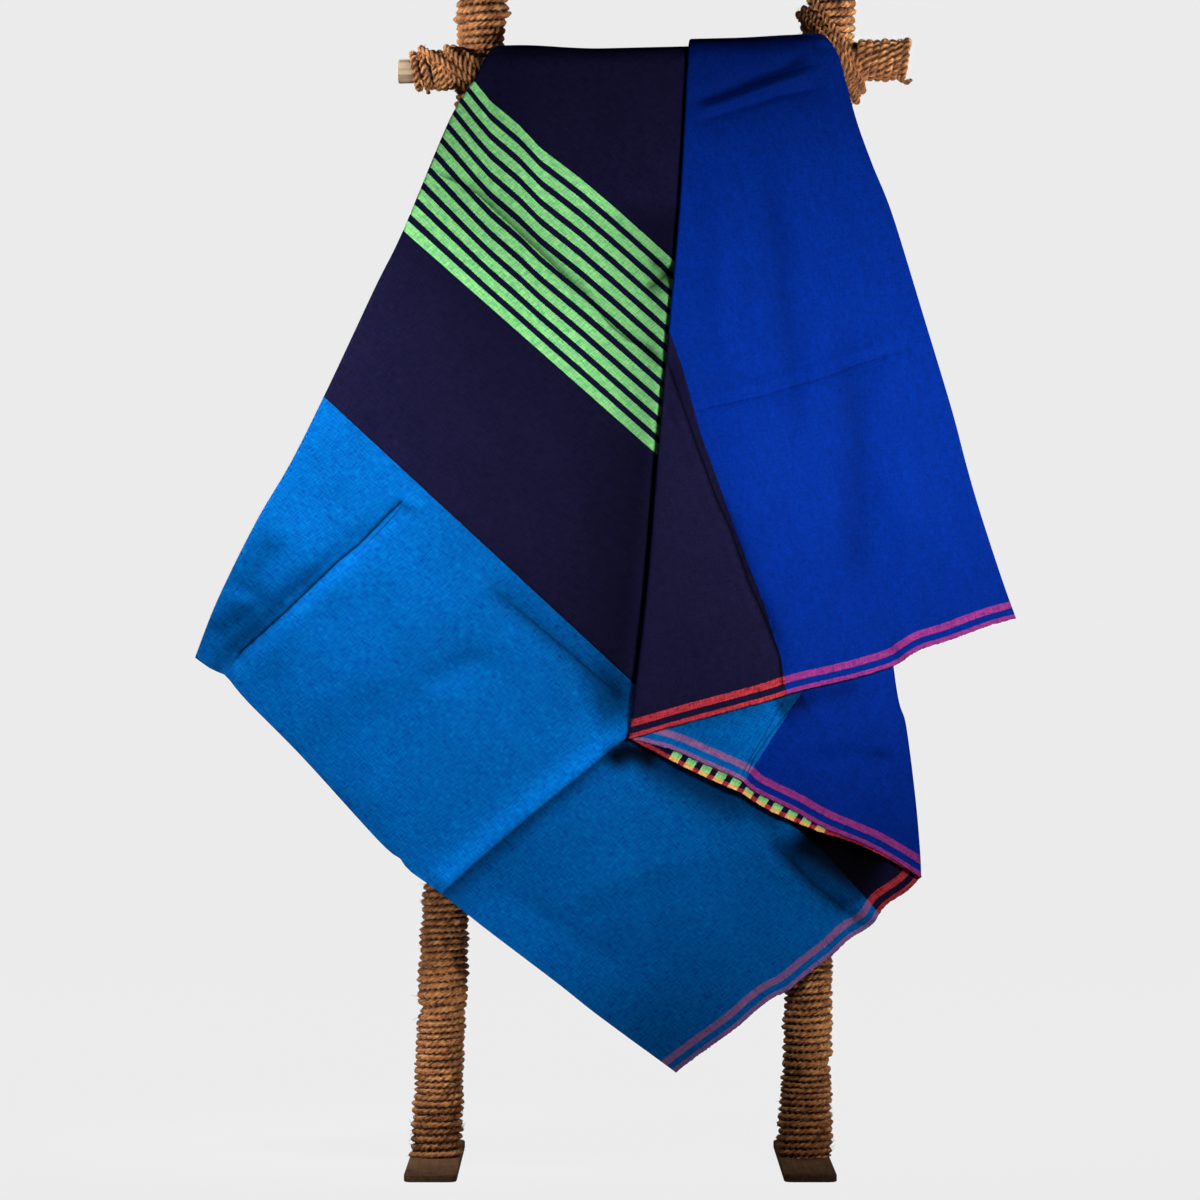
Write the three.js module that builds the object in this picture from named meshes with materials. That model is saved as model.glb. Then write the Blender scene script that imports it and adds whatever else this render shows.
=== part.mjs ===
// A tube sarong hung in three wide folds over the crossbar of a rustic rack: two uprights bound in coir rope,
// a wooden crossbar lashed across their fronts, and a plain foot plate under each upright.
// Millimetres, +Z up, +X to the right as one faces the rack, and the front of the cloth faces -Y.
// The origin is on the floor, midway between the cloth's left and right tips and midway between the
// front and back ends of the foot plates.

import * as THREE from 'three';

// Colours as seen on the real thing.
const CLOTH_BLUE = 0x0a3fa0;
const COIR_BROWN = 0x8a5c34;
const POLE_WOOD = 0xa58b6c;
const FOOT_WOOD = 0x5f4630;

// Rack.
const BAR = { leftX: -206.5, rightX: 306, leftZ: 1104, rightZ: 1116, radius: 12.5, sides: 20 };
const ROPE_THICKNESS = 7;
const SEAT_GAP = 0.3;
const UPRIGHT_RADIUS = 23.5;
const UPRIGHT_TOP_Z = 1216;
const UPRIGHT_SETBACK = BAR.radius + UPRIGHT_RADIUS + SEAT_GAP;
const UPRIGHTS = [
  { name: 'left', bottomX: -170.5, topX: -121, phase: 0.4 },
  { name: 'right', bottomX: 203.5, topX: 232.5, phase: 2.1 },
];
// Unevenness of the rope binding along an upright: how much its radius swells at a share of the height.
const BINDING_SWELL = [
  { at: 0.0, swell: 2.6 }, { at: 0.03, swell: 2.2 }, { at: 0.08, swell: 0.8 }, { at: 0.14, swell: 1.3 },
  { at: 0.2, swell: -0.6 }, { at: 0.28, swell: 0.5 }, { at: 0.36, swell: -0.4 }, { at: 0.46, swell: 0.4 },
  { at: 0.56, swell: -0.5 }, { at: 0.66, swell: 0.2 }, { at: 0.76, swell: -0.6 }, { at: 0.86, swell: -0.3 },
  { at: 0.93, swell: -0.2 }, { at: 0.97, swell: 0.6 }, { at: 1.0, swell: 0.2 },
];
const UPRIGHT_SIDES = 20;
const FOOT = { width: 52, length: 320, thickness: 8, corner: 9 };

// Rope turns on the crossbar's ends: where a winding starts and stops, and its turn spacing.
const BAR_WRAPS = [
  { name: 'left', fromX: -196, toX: -162.5, pitch: 7.5 },
  { name: 'right', fromX: 267, toX: 308.5, pitch: 7.6 },
];
const WRAP_SIDES = 16;

// Diagonal lashing bands that tie bar and uprights: slant of the band seen from the front, how far its middle
// lies to the upper right of the joint, and its width.
const LASHINGS = [
  { name: 'left', slantDeg: -45, aside: 0, bandWidth: 25 },
  { name: 'right', slantDeg: -58, aside: 9, bandWidth: 22 },
];
const LASHING_SIDES = 32;
const LASHING_CLEARANCE = 1.1;      // over the poles' own radius, which the binding's swell takes up in part

// Cloth. A flattened tube: its two plies make one sheet of this thickness.
const CLOTH_THICKNESS = 2.4;
const LAYER_PITCH = 3.7;            // between the mid-surfaces of neighbouring layers at the bar
const LAYER_SPREAD = 4.6;           // how much more they stand apart per metre below the bar

// Lengthwise lines of the folded cloth below the bar, front side, from the bar's height to the hem.
// Columns: x to the right, z up.
const LEFT_FOLD = [
  { x: -122.5, z: 1106.5 }, { x: -129.5, z: 1092 }, { x: -152.5, z: 1052 }, { x: -198.5, z: 940 },
  { x: -271.5, z: 792 }, { x: -348.5, z: 651 }, { x: -386.5, z: 572 }, { x: -409.5, z: 514 },
];
const INNER_FOLD = [
  { x: 84.5, z: 1111 }, { x: 76.5, z: 968 }, { x: 65.5, z: 842 }, { x: 54.5, z: 716 },
  { x: 42.5, z: 572 }, { x: 26, z: 434 },
];
const OUTER_FOLD = [
  { x: 229.5, z: 1114 }, { x: 262, z: 800 }, { x: 290, z: 507 }, { x: 302.5, z: 446 },
  { x: 311.5, z: 376 }, { x: 316.5, z: 319 }, { x: 317.5, z: 295 },
];
const RIGHT_EDGE = [
  { x: 236.5, z: 1114 }, { x: 252.5, z: 1054 }, { x: 268.5, z: 1009 }, { x: 289.5, z: 956 },
  { x: 321.5, z: 852 }, { x: 366.5, z: 709 }, { x: 398.5, z: 592 }, { x: 411.5, z: 554.5 },
];
const HIDDEN_EDGE = [{ x: 106, z: 1111 }, { x: 101, z: 750 }, { x: 96.5, z: 406 }];

// Lower outlines of the layers, left to right.
const FLAP_LOWER = [{ x: -409.5, z: 514 }, { x: -250, z: 478 }, { x: -80, z: 438 }, { x: 96.5, z: 406 }];
const PANEL_FOLD_SIDE = [
  { x: -409.5, z: 514 }, { x: -392.5, z: 502 }, { x: -379, z: 496 }, { x: -358.5, z: 472 },
  { x: -303.5, z: 417 }, { x: -223.5, z: 327 }, { x: -196, z: 301 }, { x: -163.5, z: 282 },
  { x: -83.5, z: 222 }, { x: -3.5, z: 157 }, { x: 71.9, z: 98.7 },
];
const PANEL_HEM_SIDE = [
  { x: 71.9, z: 98.7 }, { x: 132.2, z: 143 }, { x: 170.4, z: 173.6 }, { x: 208.7, z: 200.4 },
  { x: 246, z: 232 }, { x: 268, z: 246 }, { x: 281.5, z: 265 }, { x: 304.5, z: 281 }, { x: 317.5, z: 295 },
];
const MIDDLE_HEM = [
  { x: 26, z: 434 }, { x: 66.5, z: 412.6 }, { x: 106.3, z: 393.2 }, { x: 136.9, z: 380 },
  { x: 152, z: 370 }, { x: 175.5, z: 357.5 }, { x: 217.5, z: 340.2 }, { x: 317.5, z: 295 },
];
const FRONT_HEM = [
  { x: 26, z: 434 }, { x: 156.5, z: 470 }, { x: 225.4, z: 488.7 }, { x: 291.7, z: 507.3 },
  { x: 320, z: 524.5 }, { x: 345.9, z: 532.6 }, { x: 380.4, z: 545.5 }, { x: 411.5, z: 554.5 },
];

// Where each lengthwise line crosses the bar's top and leaves its back, and where it ends at the back hem.
const BACK_LINES = {
  hidden: { topX: 107.5, backX: 107.5, hemX: 102, drop: 62 },
  left: { topX: -103, backX: -82, hemX: 22, drop: 262 },
  outer: { topX: 209, backX: 185, hemX: 168, drop: 436 },
  inner: { topX: 87, backX: 87, hemX: 46, drop: 498 },
  right: { topX: 213, backX: 186, hemX: 118, drop: 556 },
};
// Waves of the hanging back hem: x of each wave's middle, how far it reaches down, half its width.
const BACK_HEM_WAVES = [{ x: 60, down: 9, half: 40 }, { x: 140, down: -7, half: 30 }];

// The layers from the one against the bar outwards, and how many strips each is divided into.
// The panel's lower outline has two runs, which meet at its lowest corner, at this share of its strips.
const CORNER_SHARE = 0.6;
const LAYERS = [
  { key: 'flap', rank: 0, left: 'left', right: 'hidden', strips: 8, lower: [FLAP_LOWER] },
  {
    key: 'panel', rank: 1, left: 'left', right: 'outer', strips: 20,
    lower: [PANEL_FOLD_SIDE, PANEL_HEM_SIDE],
  },
  { key: 'middle', rank: 2, left: 'inner', right: 'outer', strips: 9, lower: [MIDDLE_HEM] },
  { key: 'front', rank: 3, left: 'inner', right: 'right', strips: 12, lower: [FRONT_HEM] },
];
const FRONT_ROWS = 20;
const ARC_STEPS = 8;
const FIRST_LAYER_RADIUS = (BAR.radius + SEAT_GAP + CLOTH_THICKNESS / 2) / Math.cos(Math.PI / ARC_STEPS / 2);
const BACK_ROWS = 9;
const FRONT_ROW_EASE = 1.15;        // rows lie a little closer together near the bar

// Where the cloth rides over the lashings: x of full and of no lift, and the lift in front, on top, behind.
const LEFT_LIFT = { fullX: -90, noneX: 0, front: 10.5, top: 4.5, back: 0.5 };
const RIGHT_LIFT = { fullX: 192, noneX: 130, front: 6.2, top: 1.2, back: 0 };
const LIFT_FADE = { fromZ: 1068, toZ: 900 };

// The pressed crease across the big panel. It stands out between its ends, and above it the cloth falls back
// to the panel over one flank. Below it the cloth slopes on behind the panel's plane, to the lower corner.
const PRESSED_CREASE = {
  fromX: -163.5, fromZ: 284, toX: 31.5, toZ: 437, rise: 15, upperFlank: 190, lowerFlank: 270, fall: 11,
};
// The tuck in the big panel's left corner, sunk along a line from its inner end to the lower outline.
const TUCK = { fromX: -197.5, fromZ: 676, toX: -379.5, toZ: 498, depth: 2.6, upperFlank: 55, lowerFlank: 24 };
// Slow waves of all the layers together, in and out, that grow below the bar.
const SWAYS = [
  { depth: 4.5, lengthX: 640, lengthZ: 1500, phase: 0.9 },
  { depth: 2, lengthX: 230, lengthZ: 2600, phase: 2.2 },
];
const SWAY_GROWTH = 450;            // distance below the bar over which the waves reach their depth

const smooth = (from, to, value) => {
  const t = THREE.MathUtils.clamp((value - from) / (to - from), 0, 1);
  return t * t * (3 - 2 * t);
};
const lerp = THREE.MathUtils.lerp;
const barZ = (x) => lerp(BAR.leftZ, BAR.rightZ, (x - BAR.leftX) / (BAR.rightX - BAR.leftX));
const barSlope = Math.atan2(BAR.rightZ - BAR.leftZ, BAR.rightX - BAR.leftX);
const leanOf = (upright) => (upright.topX - upright.bottomX) / UPRIGHT_TOP_Z;
const curveOf = (rows) => new THREE.SplineCurve(rows.map((row) => new THREE.Vector2(row.x, row.z)));

const FRONT_LINES = {
  left: curveOf(LEFT_FOLD), inner: curveOf(INNER_FOLD), outer: curveOf(OUTER_FOLD),
  right: curveOf(RIGHT_EDGE), hidden: curveOf(HIDDEN_EDGE),
};
const LOWER_CURVES = Object.fromEntries(LAYERS.map((layer) => [layer.key, layer.lower.map(curveOf)]));

function lowerPoint(layer, across) {
  const [first, second] = LOWER_CURVES[layer.key];
  if (!second) {
    return first.getPointAt(across);
  }
  return across <= CORNER_SHARE
    ? first.getPointAt(across / CORNER_SHARE)
    : second.getPointAt((across - CORNER_SHARE) / (1 - CORNER_SHARE));
}

// Patch between a layer's two fold lines, the bar and its lower outline: place seen from the front.
function frontPlace(layer, across, down) {
  const left = FRONT_LINES[layer.left];
  const right = FRONT_LINES[layer.right];
  const sides = left.getPointAt(down).lerp(right.getPointAt(down), across);
  const straightLower = left.getPointAt(1).lerp(right.getPointAt(1), across);
  const bow = lowerPoint(layer, across).clone().sub(straightLower).multiplyScalar(down);
  return { x: sides.x + bow.x, z: sides.y + bow.y };
}

function lift(x, place) {
  const left = LEFT_LIFT[place] * (1 - smooth(LEFT_LIFT.fullX, LEFT_LIFT.noneX, x));
  const right = RIGHT_LIFT[place] * (1 - smooth(RIGHT_LIFT.fullX, RIGHT_LIFT.noneX, x));
  return left + right;
}

// Where a point lies beside a line: its share of the way along, and its distance above or below.
function besideLine(line, x, z) {
  const alongX = line.toX - line.fromX;
  const alongZ = line.toZ - line.fromZ;
  const length = Math.hypot(alongX, alongZ);
  const share = ((x - line.fromX) * alongX + (z - line.fromZ) * alongZ) / (length * length);
  const above = Math.sign(alongX) * ((z - line.fromZ) * alongX - (x - line.fromX) * alongZ) / length;
  return { share, above };
}

function pressedCrease(x, z) {
  const { share, above } = besideLine(PRESSED_CREASE, x, z);
  const { rise, fall, upperFlank, lowerFlank } = PRESSED_CREASE;
  const standing = smooth(-0.6, 0.1, share) * (1 - smooth(0.45, 1.0, share));
  const upper = Math.max(0, 1 - above / upperFlank);
  if (above > 0) {
    return rise * upper * upper * standing;
  }
  const down = Math.min(1, -above / lowerFlank);
  const falling = smooth(-0.6, 0.1, share) * (1 - smooth(0.9, 1.6, share));
  return rise * (1 - down) * standing - fall * down * falling;
}

function tuck(x, z) {
  const { share, above } = besideLine(TUCK, x, z);
  const flank = above > 0 ? TUCK.upperFlank : TUCK.lowerFlank;
  const near = Math.max(0, 1 - Math.abs(above) / flank);
  return -TUCK.depth * near * near * smooth(-0.1, 0.2, share);
}

function frontDepth(layer, rank, x, z) {
  const below = Math.max(0, barZ(x) - z);
  const pitch = LAYER_PITCH + LAYER_SPREAD * below / 1000;
  const growth = smooth(0, SWAY_GROWTH, below);
  const sway = SWAYS.reduce((sum, wave) => sum + wave.depth
    * (1 + Math.sin(2 * Math.PI * (x / wave.lengthX + z / wave.lengthZ) + wave.phase)), 0);
  const raised = lift(x, 'front') * smooth(LIFT_FADE.toZ, LIFT_FADE.fromZ, z);
  const creases = layer.key === 'panel' ? pressedCrease(x, z) + tuck(x, z) : 0;
  return FIRST_LAYER_RADIUS + rank * pitch + raised + creases + sway * growth;
}

function frontPoint(layer, rank, across, down) {
  const place = frontPlace(layer, across, down);
  return new THREE.Vector3(place.x, -frontDepth(layer, rank, place.x, place.z), place.z);
}

// Over the bar: turn runs from 0 at the front, through 0.5 on top, to 1 at the back.
function barPoint(layer, rank, across, turn) {
  const lineX = (key) => {
    const frontX = FRONT_LINES[key].getPointAt(0).x;
    const line = BACK_LINES[key];
    return turn < 0.5 ? lerp(frontX, line.topX, turn * 2) : lerp(line.topX, line.backX, turn * 2 - 1);
  };
  const x = lerp(lineX(layer.left), lineX(layer.right), across);
  const raised = turn < 0.5
    ? lerp(lift(x, 'front'), lift(x, 'top'), turn * 2) : lerp(lift(x, 'top'), lift(x, 'back'), turn * 2 - 1);
  const radius = FIRST_LAYER_RADIUS + rank * LAYER_PITCH + raised;
  const angle = Math.PI * turn;
  return new THREE.Vector3(x, -radius * Math.cos(angle), barZ(x) + radius * Math.sin(angle));
}

function backPoint(layer, rank, across, down) {
  const ends = [BACK_LINES[layer.left], BACK_LINES[layer.right]];
  const startX = lerp(ends[0].backX, ends[1].backX, across);
  const endX = lerp(ends[0].hemX, ends[1].hemX, across);
  const x = lerp(startX, endX, down);
  const waves = BACK_HEM_WAVES.reduce(
    (sum, wave) => sum + wave.down * Math.exp(-(((x - wave.x) / wave.half) ** 2)), 0);
  const drop = down * (lerp(ends[0].drop, ends[1].drop, across) + waves * down);
  const pitch = LAYER_PITCH + LAYER_SPREAD * drop / 1000;
  const y = FIRST_LAYER_RADIUS + rank * pitch + lift(x, 'back') * (1 - down);
  return new THREE.Vector3(x, y, barZ(startX) - drop);
}

// The cloth's rows, from the front hem up, over the bar, and down to the back hem.
function clothRows() {
  const rows = [];
  for (let i = 0; i < FRONT_ROWS; i += 1) {
    rows.push({ part: 'front', at: (1 - i / FRONT_ROWS) ** FRONT_ROW_EASE });
  }
  for (let i = 0; i <= ARC_STEPS; i += 1) {
    rows.push({ part: 'bar', at: i / ARC_STEPS });
  }
  for (let i = 1; i <= BACK_ROWS; i += 1) {
    rows.push({ part: 'back', at: i / BACK_ROWS });
  }
  return rows;
}

// The cloth's columns follow the folded section back and forth: along a layer, round a turn, along the next.
// A column inside a turn lies some share of the turn's radius in from the fold line.
function clothColumns() {
  const columns = [];
  const turnAngles = [0, 0.25, 0.5, 0.75, 1].map((share) => share * Math.PI);
  LAYERS.forEach((layer, index) => {
    const forward = index % 2 === 1;
    const startSide = forward ? 0 : 1;
    const lone = index === 0;
    const last = index === LAYERS.length - 1;
    const first = lone ? 0 : 1;
    const end = last ? layer.strips : layer.strips - 1;
    for (let i = first; i <= end; i += 1) {
      const share = i / layer.strips;
      const across = forward ? share : 1 - share;
      columns.push({ layer, rank: layer.rank, across, inset: 0, side: startSide });
    }
    if (!last) {
      const next = LAYERS[index + 1];
      const side = forward ? 1 : 0;
      turnAngles.forEach((angle) => {
        const owner = angle < Math.PI / 2 ? layer : next;
        const rank = layer.rank + (1 - Math.cos(angle)) / 2;
        columns.push({ layer: owner, rank, across: side, inset: 1 - Math.sin(angle), side });
      });
    }
  });
  return columns;
}

function clothPoint(column, row) {
  const place = { front: frontPoint, bar: barPoint, back: backPoint }[row.part];
  if (column.inset === 0) {
    return place(column.layer, column.rank, column.across, row.at);
  }
  const leftEnd = place(column.layer, column.rank, 0, row.at);
  const rightEnd = place(column.layer, column.rank, 1, row.at);
  const radius = LAYER_PITCH / 2;
  const share = column.inset * radius / leftEnd.distanceTo(rightEnd);
  return place(column.layer, column.rank, column.side === 0 ? share : 1 - share, row.at);
}

function solidOf(positions, faces) {
  const geometry = new THREE.BufferGeometry();
  geometry.setAttribute('position', new THREE.Float32BufferAttribute(positions, 3));
  geometry.setIndex(faces);
  geometry.computeVertexNormals();
  return geometry;
}

// A closed solid from a grid of mid-surface points, thickened along the grid's own normals.
function thickGrid(grid, thickness) {
  const columnCount = grid.length;
  const rowCount = grid[0].length;
  const positions = [];
  const normalAt = (i, j) => {
    const alongColumns = grid[Math.min(i + 1, columnCount - 1)][j].clone().sub(grid[Math.max(i - 1, 0)][j]);
    const alongRows = grid[i][Math.min(j + 1, rowCount - 1)].clone().sub(grid[i][Math.max(j - 1, 0)]);
    return alongColumns.cross(alongRows).normalize();
  };
  [1, -1].forEach((side) => {
    for (let i = 0; i < columnCount; i += 1) {
      for (let j = 0; j < rowCount; j += 1) {
        const point = grid[i][j].clone().addScaledVector(normalAt(i, j), side * thickness / 2);
        positions.push(point.x, point.y, point.z);
      }
    }
  });
  const at = (side, i, j) => side * columnCount * rowCount + i * rowCount + j;
  const faces = [];
  const quad = (a, b, c, d) => faces.push(a, b, c, a, c, d);
  for (let i = 0; i < columnCount - 1; i += 1) {
    for (let j = 0; j < rowCount - 1; j += 1) {
      quad(at(0, i, j), at(0, i + 1, j), at(0, i + 1, j + 1), at(0, i, j + 1));
      quad(at(1, i, j), at(1, i, j + 1), at(1, i + 1, j + 1), at(1, i + 1, j));
    }
    const top = rowCount - 1;
    quad(at(0, i + 1, 0), at(0, i, 0), at(1, i, 0), at(1, i + 1, 0));
    quad(at(0, i, top), at(0, i + 1, top), at(1, i + 1, top), at(1, i, top));
  }
  for (let j = 0; j < rowCount - 1; j += 1) {
    quad(at(0, 0, j), at(0, 0, j + 1), at(1, 0, j + 1), at(1, 0, j));
    const edge = columnCount - 1;
    quad(at(0, edge, j + 1), at(0, edge, j), at(1, edge, j), at(1, edge, j + 1));
  }
  return solidOf(positions, faces);
}

function makeSarong() {
  const rows = clothRows();
  const grid = clothColumns().map((column) => rows.map((row) => clothPoint(column, row)));
  return thickGrid(grid, CLOTH_THICKNESS);
}

// A rope-bound pole standing on z = 0 of its own frame, leaning by a shear so both ends stay level.
function makeUpright(upright) {
  const height = UPRIGHT_TOP_Z - FOOT.thickness - SEAT_GAP;
  const profile = BINDING_SWELL.map((row) => new THREE.Vector2(
    UPRIGHT_RADIUS + row.swell * (0.75 + 0.25 * Math.sin(upright.phase + 9 * row.at)), row.at * height));
  profile.unshift(new THREE.Vector2(0, 0));
  profile.push(new THREE.Vector2(0, height));
  const geometry = new THREE.LatheGeometry(profile, UPRIGHT_SIDES).rotateX(Math.PI / 2);
  geometry.applyMatrix4(new THREE.Matrix4().makeShear(0, 0, 0, 0, leanOf(upright), 0));
  return geometry;
}

function makeFoot() {
  const halfWidth = FOOT.width / 2;
  const halfLength = FOOT.length / 2;
  const outline = new THREE.Shape();
  outline.moveTo(-halfWidth + FOOT.corner, -halfLength);
  outline.lineTo(halfWidth - FOOT.corner, -halfLength);
  outline.absarc(halfWidth - FOOT.corner, -halfLength + FOOT.corner, FOOT.corner, -Math.PI / 2, 0);
  outline.absarc(halfWidth - FOOT.corner, halfLength - FOOT.corner, FOOT.corner, 0, Math.PI / 2);
  outline.absarc(-halfWidth + FOOT.corner, halfLength - FOOT.corner, FOOT.corner, Math.PI / 2, Math.PI);
  outline.absarc(-halfWidth + FOOT.corner, -halfLength + FOOT.corner, FOOT.corner, Math.PI, 1.5 * Math.PI);
  return new THREE.ExtrudeGeometry(outline, { depth: FOOT.thickness, bevelEnabled: false, curveSegments: 4 });
}

function makeCrossbar() {
  const length = BAR.rightX - BAR.leftX;
  return new THREE.CylinderGeometry(BAR.radius, BAR.radius, length, BAR.sides).rotateZ(-Math.PI / 2);
}

// Turns of rope round the bar: a ring with a rounded rib for each turn, open to the bar inside.
function makeBarWrap(wrap) {
  const turns = Math.round((wrap.toX - wrap.fromX) / wrap.pitch);
  const pitch = (wrap.toX - wrap.fromX) / turns;
  const inner = (BAR.radius + SEAT_GAP) / Math.cos(Math.PI / WRAP_SIDES);
  const profile = [new THREE.Vector2(inner, 0)];
  for (let turn = 0; turn < turns; turn += 1) {
    const start = turn * pitch;
    const uneven = 0.5 * Math.sin(turn * 2.3 + 1);
    if (turn === 0) {
      profile.push(new THREE.Vector2(inner + ROPE_THICKNESS * 0.55, 0));
    }
    profile.push(new THREE.Vector2(inner + ROPE_THICKNESS + uneven, start + pitch * 0.3));
    profile.push(new THREE.Vector2(inner + ROPE_THICKNESS + uneven, start + pitch * 0.7));
    profile.push(new THREE.Vector2(inner + ROPE_THICKNESS * 0.55, start + pitch));
  }
  profile.push(new THREE.Vector2(inner, turns * pitch));
  profile.push(profile[0].clone());
  return new THREE.LatheGeometry(profile, WRAP_SIDES).rotateZ(-Math.PI / 2);
}

// One band of rope round bar and upright together, in a slanted plane through the joint.
// The band's inner path is the outline of both poles cut by that plane, a little apart from them.
function makeLashing(lashing, upright) {
  const slant = THREE.MathUtils.degToRad(lashing.slantDeg);
  const fromBar = slant - barSlope;
  const fromPole = slant + Math.atan(leanOf(upright));
  const halfBand = lashing.bandWidth / 2;
  // Corners of the band's path in the plane that lies some offset aside from the joint.
  const path = (offset, extra) => {
    const sides = [];
    for (let i = 0; i < LASHING_SIDES; i += 1) {
      const angle = (i / LASHING_SIDES) * 2 * Math.PI;
      const outward = new THREE.Vector2(Math.cos(angle), Math.sin(angle));
      const reach = (along, centreY, radius, stretch) => outward.x * along + outward.y * centreY
        + Math.hypot(outward.x * radius * stretch, outward.y * radius);
      const reachBar = reach(
        -offset / Math.tan(fromBar), 0, BAR.radius + LASHING_CLEARANCE, 1 / Math.abs(Math.sin(fromBar)));
      const reachPole = reach(
        offset * Math.tan(fromPole), UPRIGHT_SETBACK, UPRIGHT_RADIUS + LASHING_CLEARANCE,
        1 / Math.abs(Math.cos(fromPole)));
      sides.push({ outward, reach: Math.max(reachBar, reachPole) + extra });
    }
    return sides.map((side, i) => {
      const next = sides[(i + 1) % LASHING_SIDES];
      const cross = side.outward.x * next.outward.y - side.outward.y * next.outward.x;
      return {
        along: (side.reach * next.outward.y - next.reach * side.outward.y) / cross,
        y: (next.reach * side.outward.x - side.reach * next.outward.x) / cross,
      };
    });
  };
  const corners = [
    { share: -1, extra: 0 }, { share: -1, extra: ROPE_THICKNESS * 0.8 },
    { share: -0.6, extra: ROPE_THICKNESS }, { share: 0.6, extra: ROPE_THICKNESS },
    { share: 1, extra: ROPE_THICKNESS * 0.8 }, { share: 1, extra: 0 },
  ].map(({ share, extra }) => ({ offset: lashing.aside + share * halfBand, extra }));
  const paths = corners.map((corner) => path(corner.offset, corner.extra));
  const positions = [];
  const faces = [];
  for (let i = 0; i < LASHING_SIDES; i += 1) {
    const next = (i + 1) % LASHING_SIDES;
    corners.forEach((corner, k) => {
      const { along, y } = paths[k][i];
      positions.push(
        along * Math.cos(slant) - corner.offset * Math.sin(slant), y,
        along * Math.sin(slant) + corner.offset * Math.cos(slant));
      const after = (k + 1) % corners.length;
      const here = i * corners.length;
      const there = next * corners.length;
      faces.push(here + k, there + after, here + after, here + k, there + k, there + after);
    });
  }
  return solidOf(positions, faces);
}

const finish = (color, roughness) => new THREE.MeshStandardMaterial({ color, roughness, metalness: 0 });
const MATERIALS = {
  cloth: finish(CLOTH_BLUE, 0.85),
  coir: finish(COIR_BROWN, 0.95),
  pole: finish(POLE_WOOD, 0.8),
  foot: finish(FOOT_WOOD, 0.7),
};

function addPiece(group, name, geometry, material, position = new THREE.Vector3(), tilt = 0) {
  const mesh = new THREE.Mesh(geometry, material);
  mesh.name = name;
  mesh.position.copy(position);
  mesh.rotation.y = tilt;
  group.add(mesh);
}

const uprightX = (upright, z) => lerp(upright.bottomX, upright.topX, z / UPRIGHT_TOP_Z);
const onBar = (x) => new THREE.Vector3(x, 0, barZ(x));

const rack = new THREE.Group();
addPiece(rack, 'sarong', makeSarong(), MATERIALS.cloth);
addPiece(rack, 'crossbar', makeCrossbar(), MATERIALS.pole, onBar((BAR.leftX + BAR.rightX) / 2), -barSlope);
BAR_WRAPS.forEach((wrap) => {
  addPiece(rack, `bar_wrap_${wrap.name}`, makeBarWrap(wrap), MATERIALS.coir, onBar(wrap.fromX), -barSlope);
});
UPRIGHTS.forEach((upright, index) => {
  const bottom = new THREE.Vector3(upright.bottomX, UPRIGHT_SETBACK, FOOT.thickness + SEAT_GAP);
  addPiece(rack, `upright_${upright.name}`, makeUpright(upright), MATERIALS.coir, bottom);
  const joint = onBar(uprightX(upright, barZ(upright.topX)));
  addPiece(rack, `lashing_${upright.name}`, makeLashing(LASHINGS[index], upright), MATERIALS.coir, joint);
  const foot = new THREE.Vector3(upright.bottomX, UPRIGHT_SETBACK, 0);
  addPiece(rack, `foot_${upright.name}`, makeFoot(), MATERIALS.foot, foot);
});

const bounds = new THREE.Box3().setFromObject(rack);
rack.position.set(-(bounds.min.x + bounds.max.x) / 2, -UPRIGHT_SETBACK, 0);

export default rack;
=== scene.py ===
"""A tube sarong hung in three wide folds over the crossbar of a rack whose uprights are bound in coir rope.

Sizes are millimetres in the rack's own axes, as in the part's source: x to the right from the middle of the
cloth, y to the back from the bar's axis, z up from the floor. They are turned into metres in the shared frame
when a mesh is made. Places on the cloth's face may also be written as seen(right, down): millimetres from the
upper left corner of the view from the front.
"""

import math

import bpy
import numpy as np
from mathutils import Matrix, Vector


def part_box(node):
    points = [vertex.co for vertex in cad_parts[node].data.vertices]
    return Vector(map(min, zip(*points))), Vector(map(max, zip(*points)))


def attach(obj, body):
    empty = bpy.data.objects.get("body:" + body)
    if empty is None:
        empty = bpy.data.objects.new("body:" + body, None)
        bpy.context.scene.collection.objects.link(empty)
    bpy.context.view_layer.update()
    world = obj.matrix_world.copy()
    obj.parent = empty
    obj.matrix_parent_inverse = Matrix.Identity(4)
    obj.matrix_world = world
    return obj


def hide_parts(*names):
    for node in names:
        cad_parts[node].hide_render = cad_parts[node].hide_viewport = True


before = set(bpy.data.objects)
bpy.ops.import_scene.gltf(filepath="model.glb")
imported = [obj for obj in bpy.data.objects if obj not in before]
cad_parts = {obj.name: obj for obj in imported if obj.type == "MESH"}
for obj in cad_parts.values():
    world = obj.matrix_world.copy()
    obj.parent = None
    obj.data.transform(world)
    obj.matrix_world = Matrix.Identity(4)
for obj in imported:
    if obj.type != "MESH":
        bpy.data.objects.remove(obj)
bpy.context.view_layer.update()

MM = 0.001

# The view from the front: where its left edge and the floor lie.
VIEW_LEFT = 603.5
VIEW_FLOOR = 1172.0

# Rack.
BAR = {"left_x": -206.5, "right_x": 306.0, "left_z": 1104.0, "right_z": 1116.0, "radius": 12.5}
ROPE_RADIUS = 3.5
SEAT_GAP = 0.3
UPRIGHT_RADIUS = 23.5
UPRIGHT_TOP_Z = 1216.0
UPRIGHT_SETBACK = 36.3
UPRIGHTS = {
    "left": {"bottom_x": -170.5, "top_x": -121.0},
    "right": {"bottom_x": 203.5, "top_x": 232.5},
}
FOOT = {"width": 52.0, "length": 320.0, "thickness": 8.0, "corner": 9.0, "bevel": 1.6}

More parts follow.
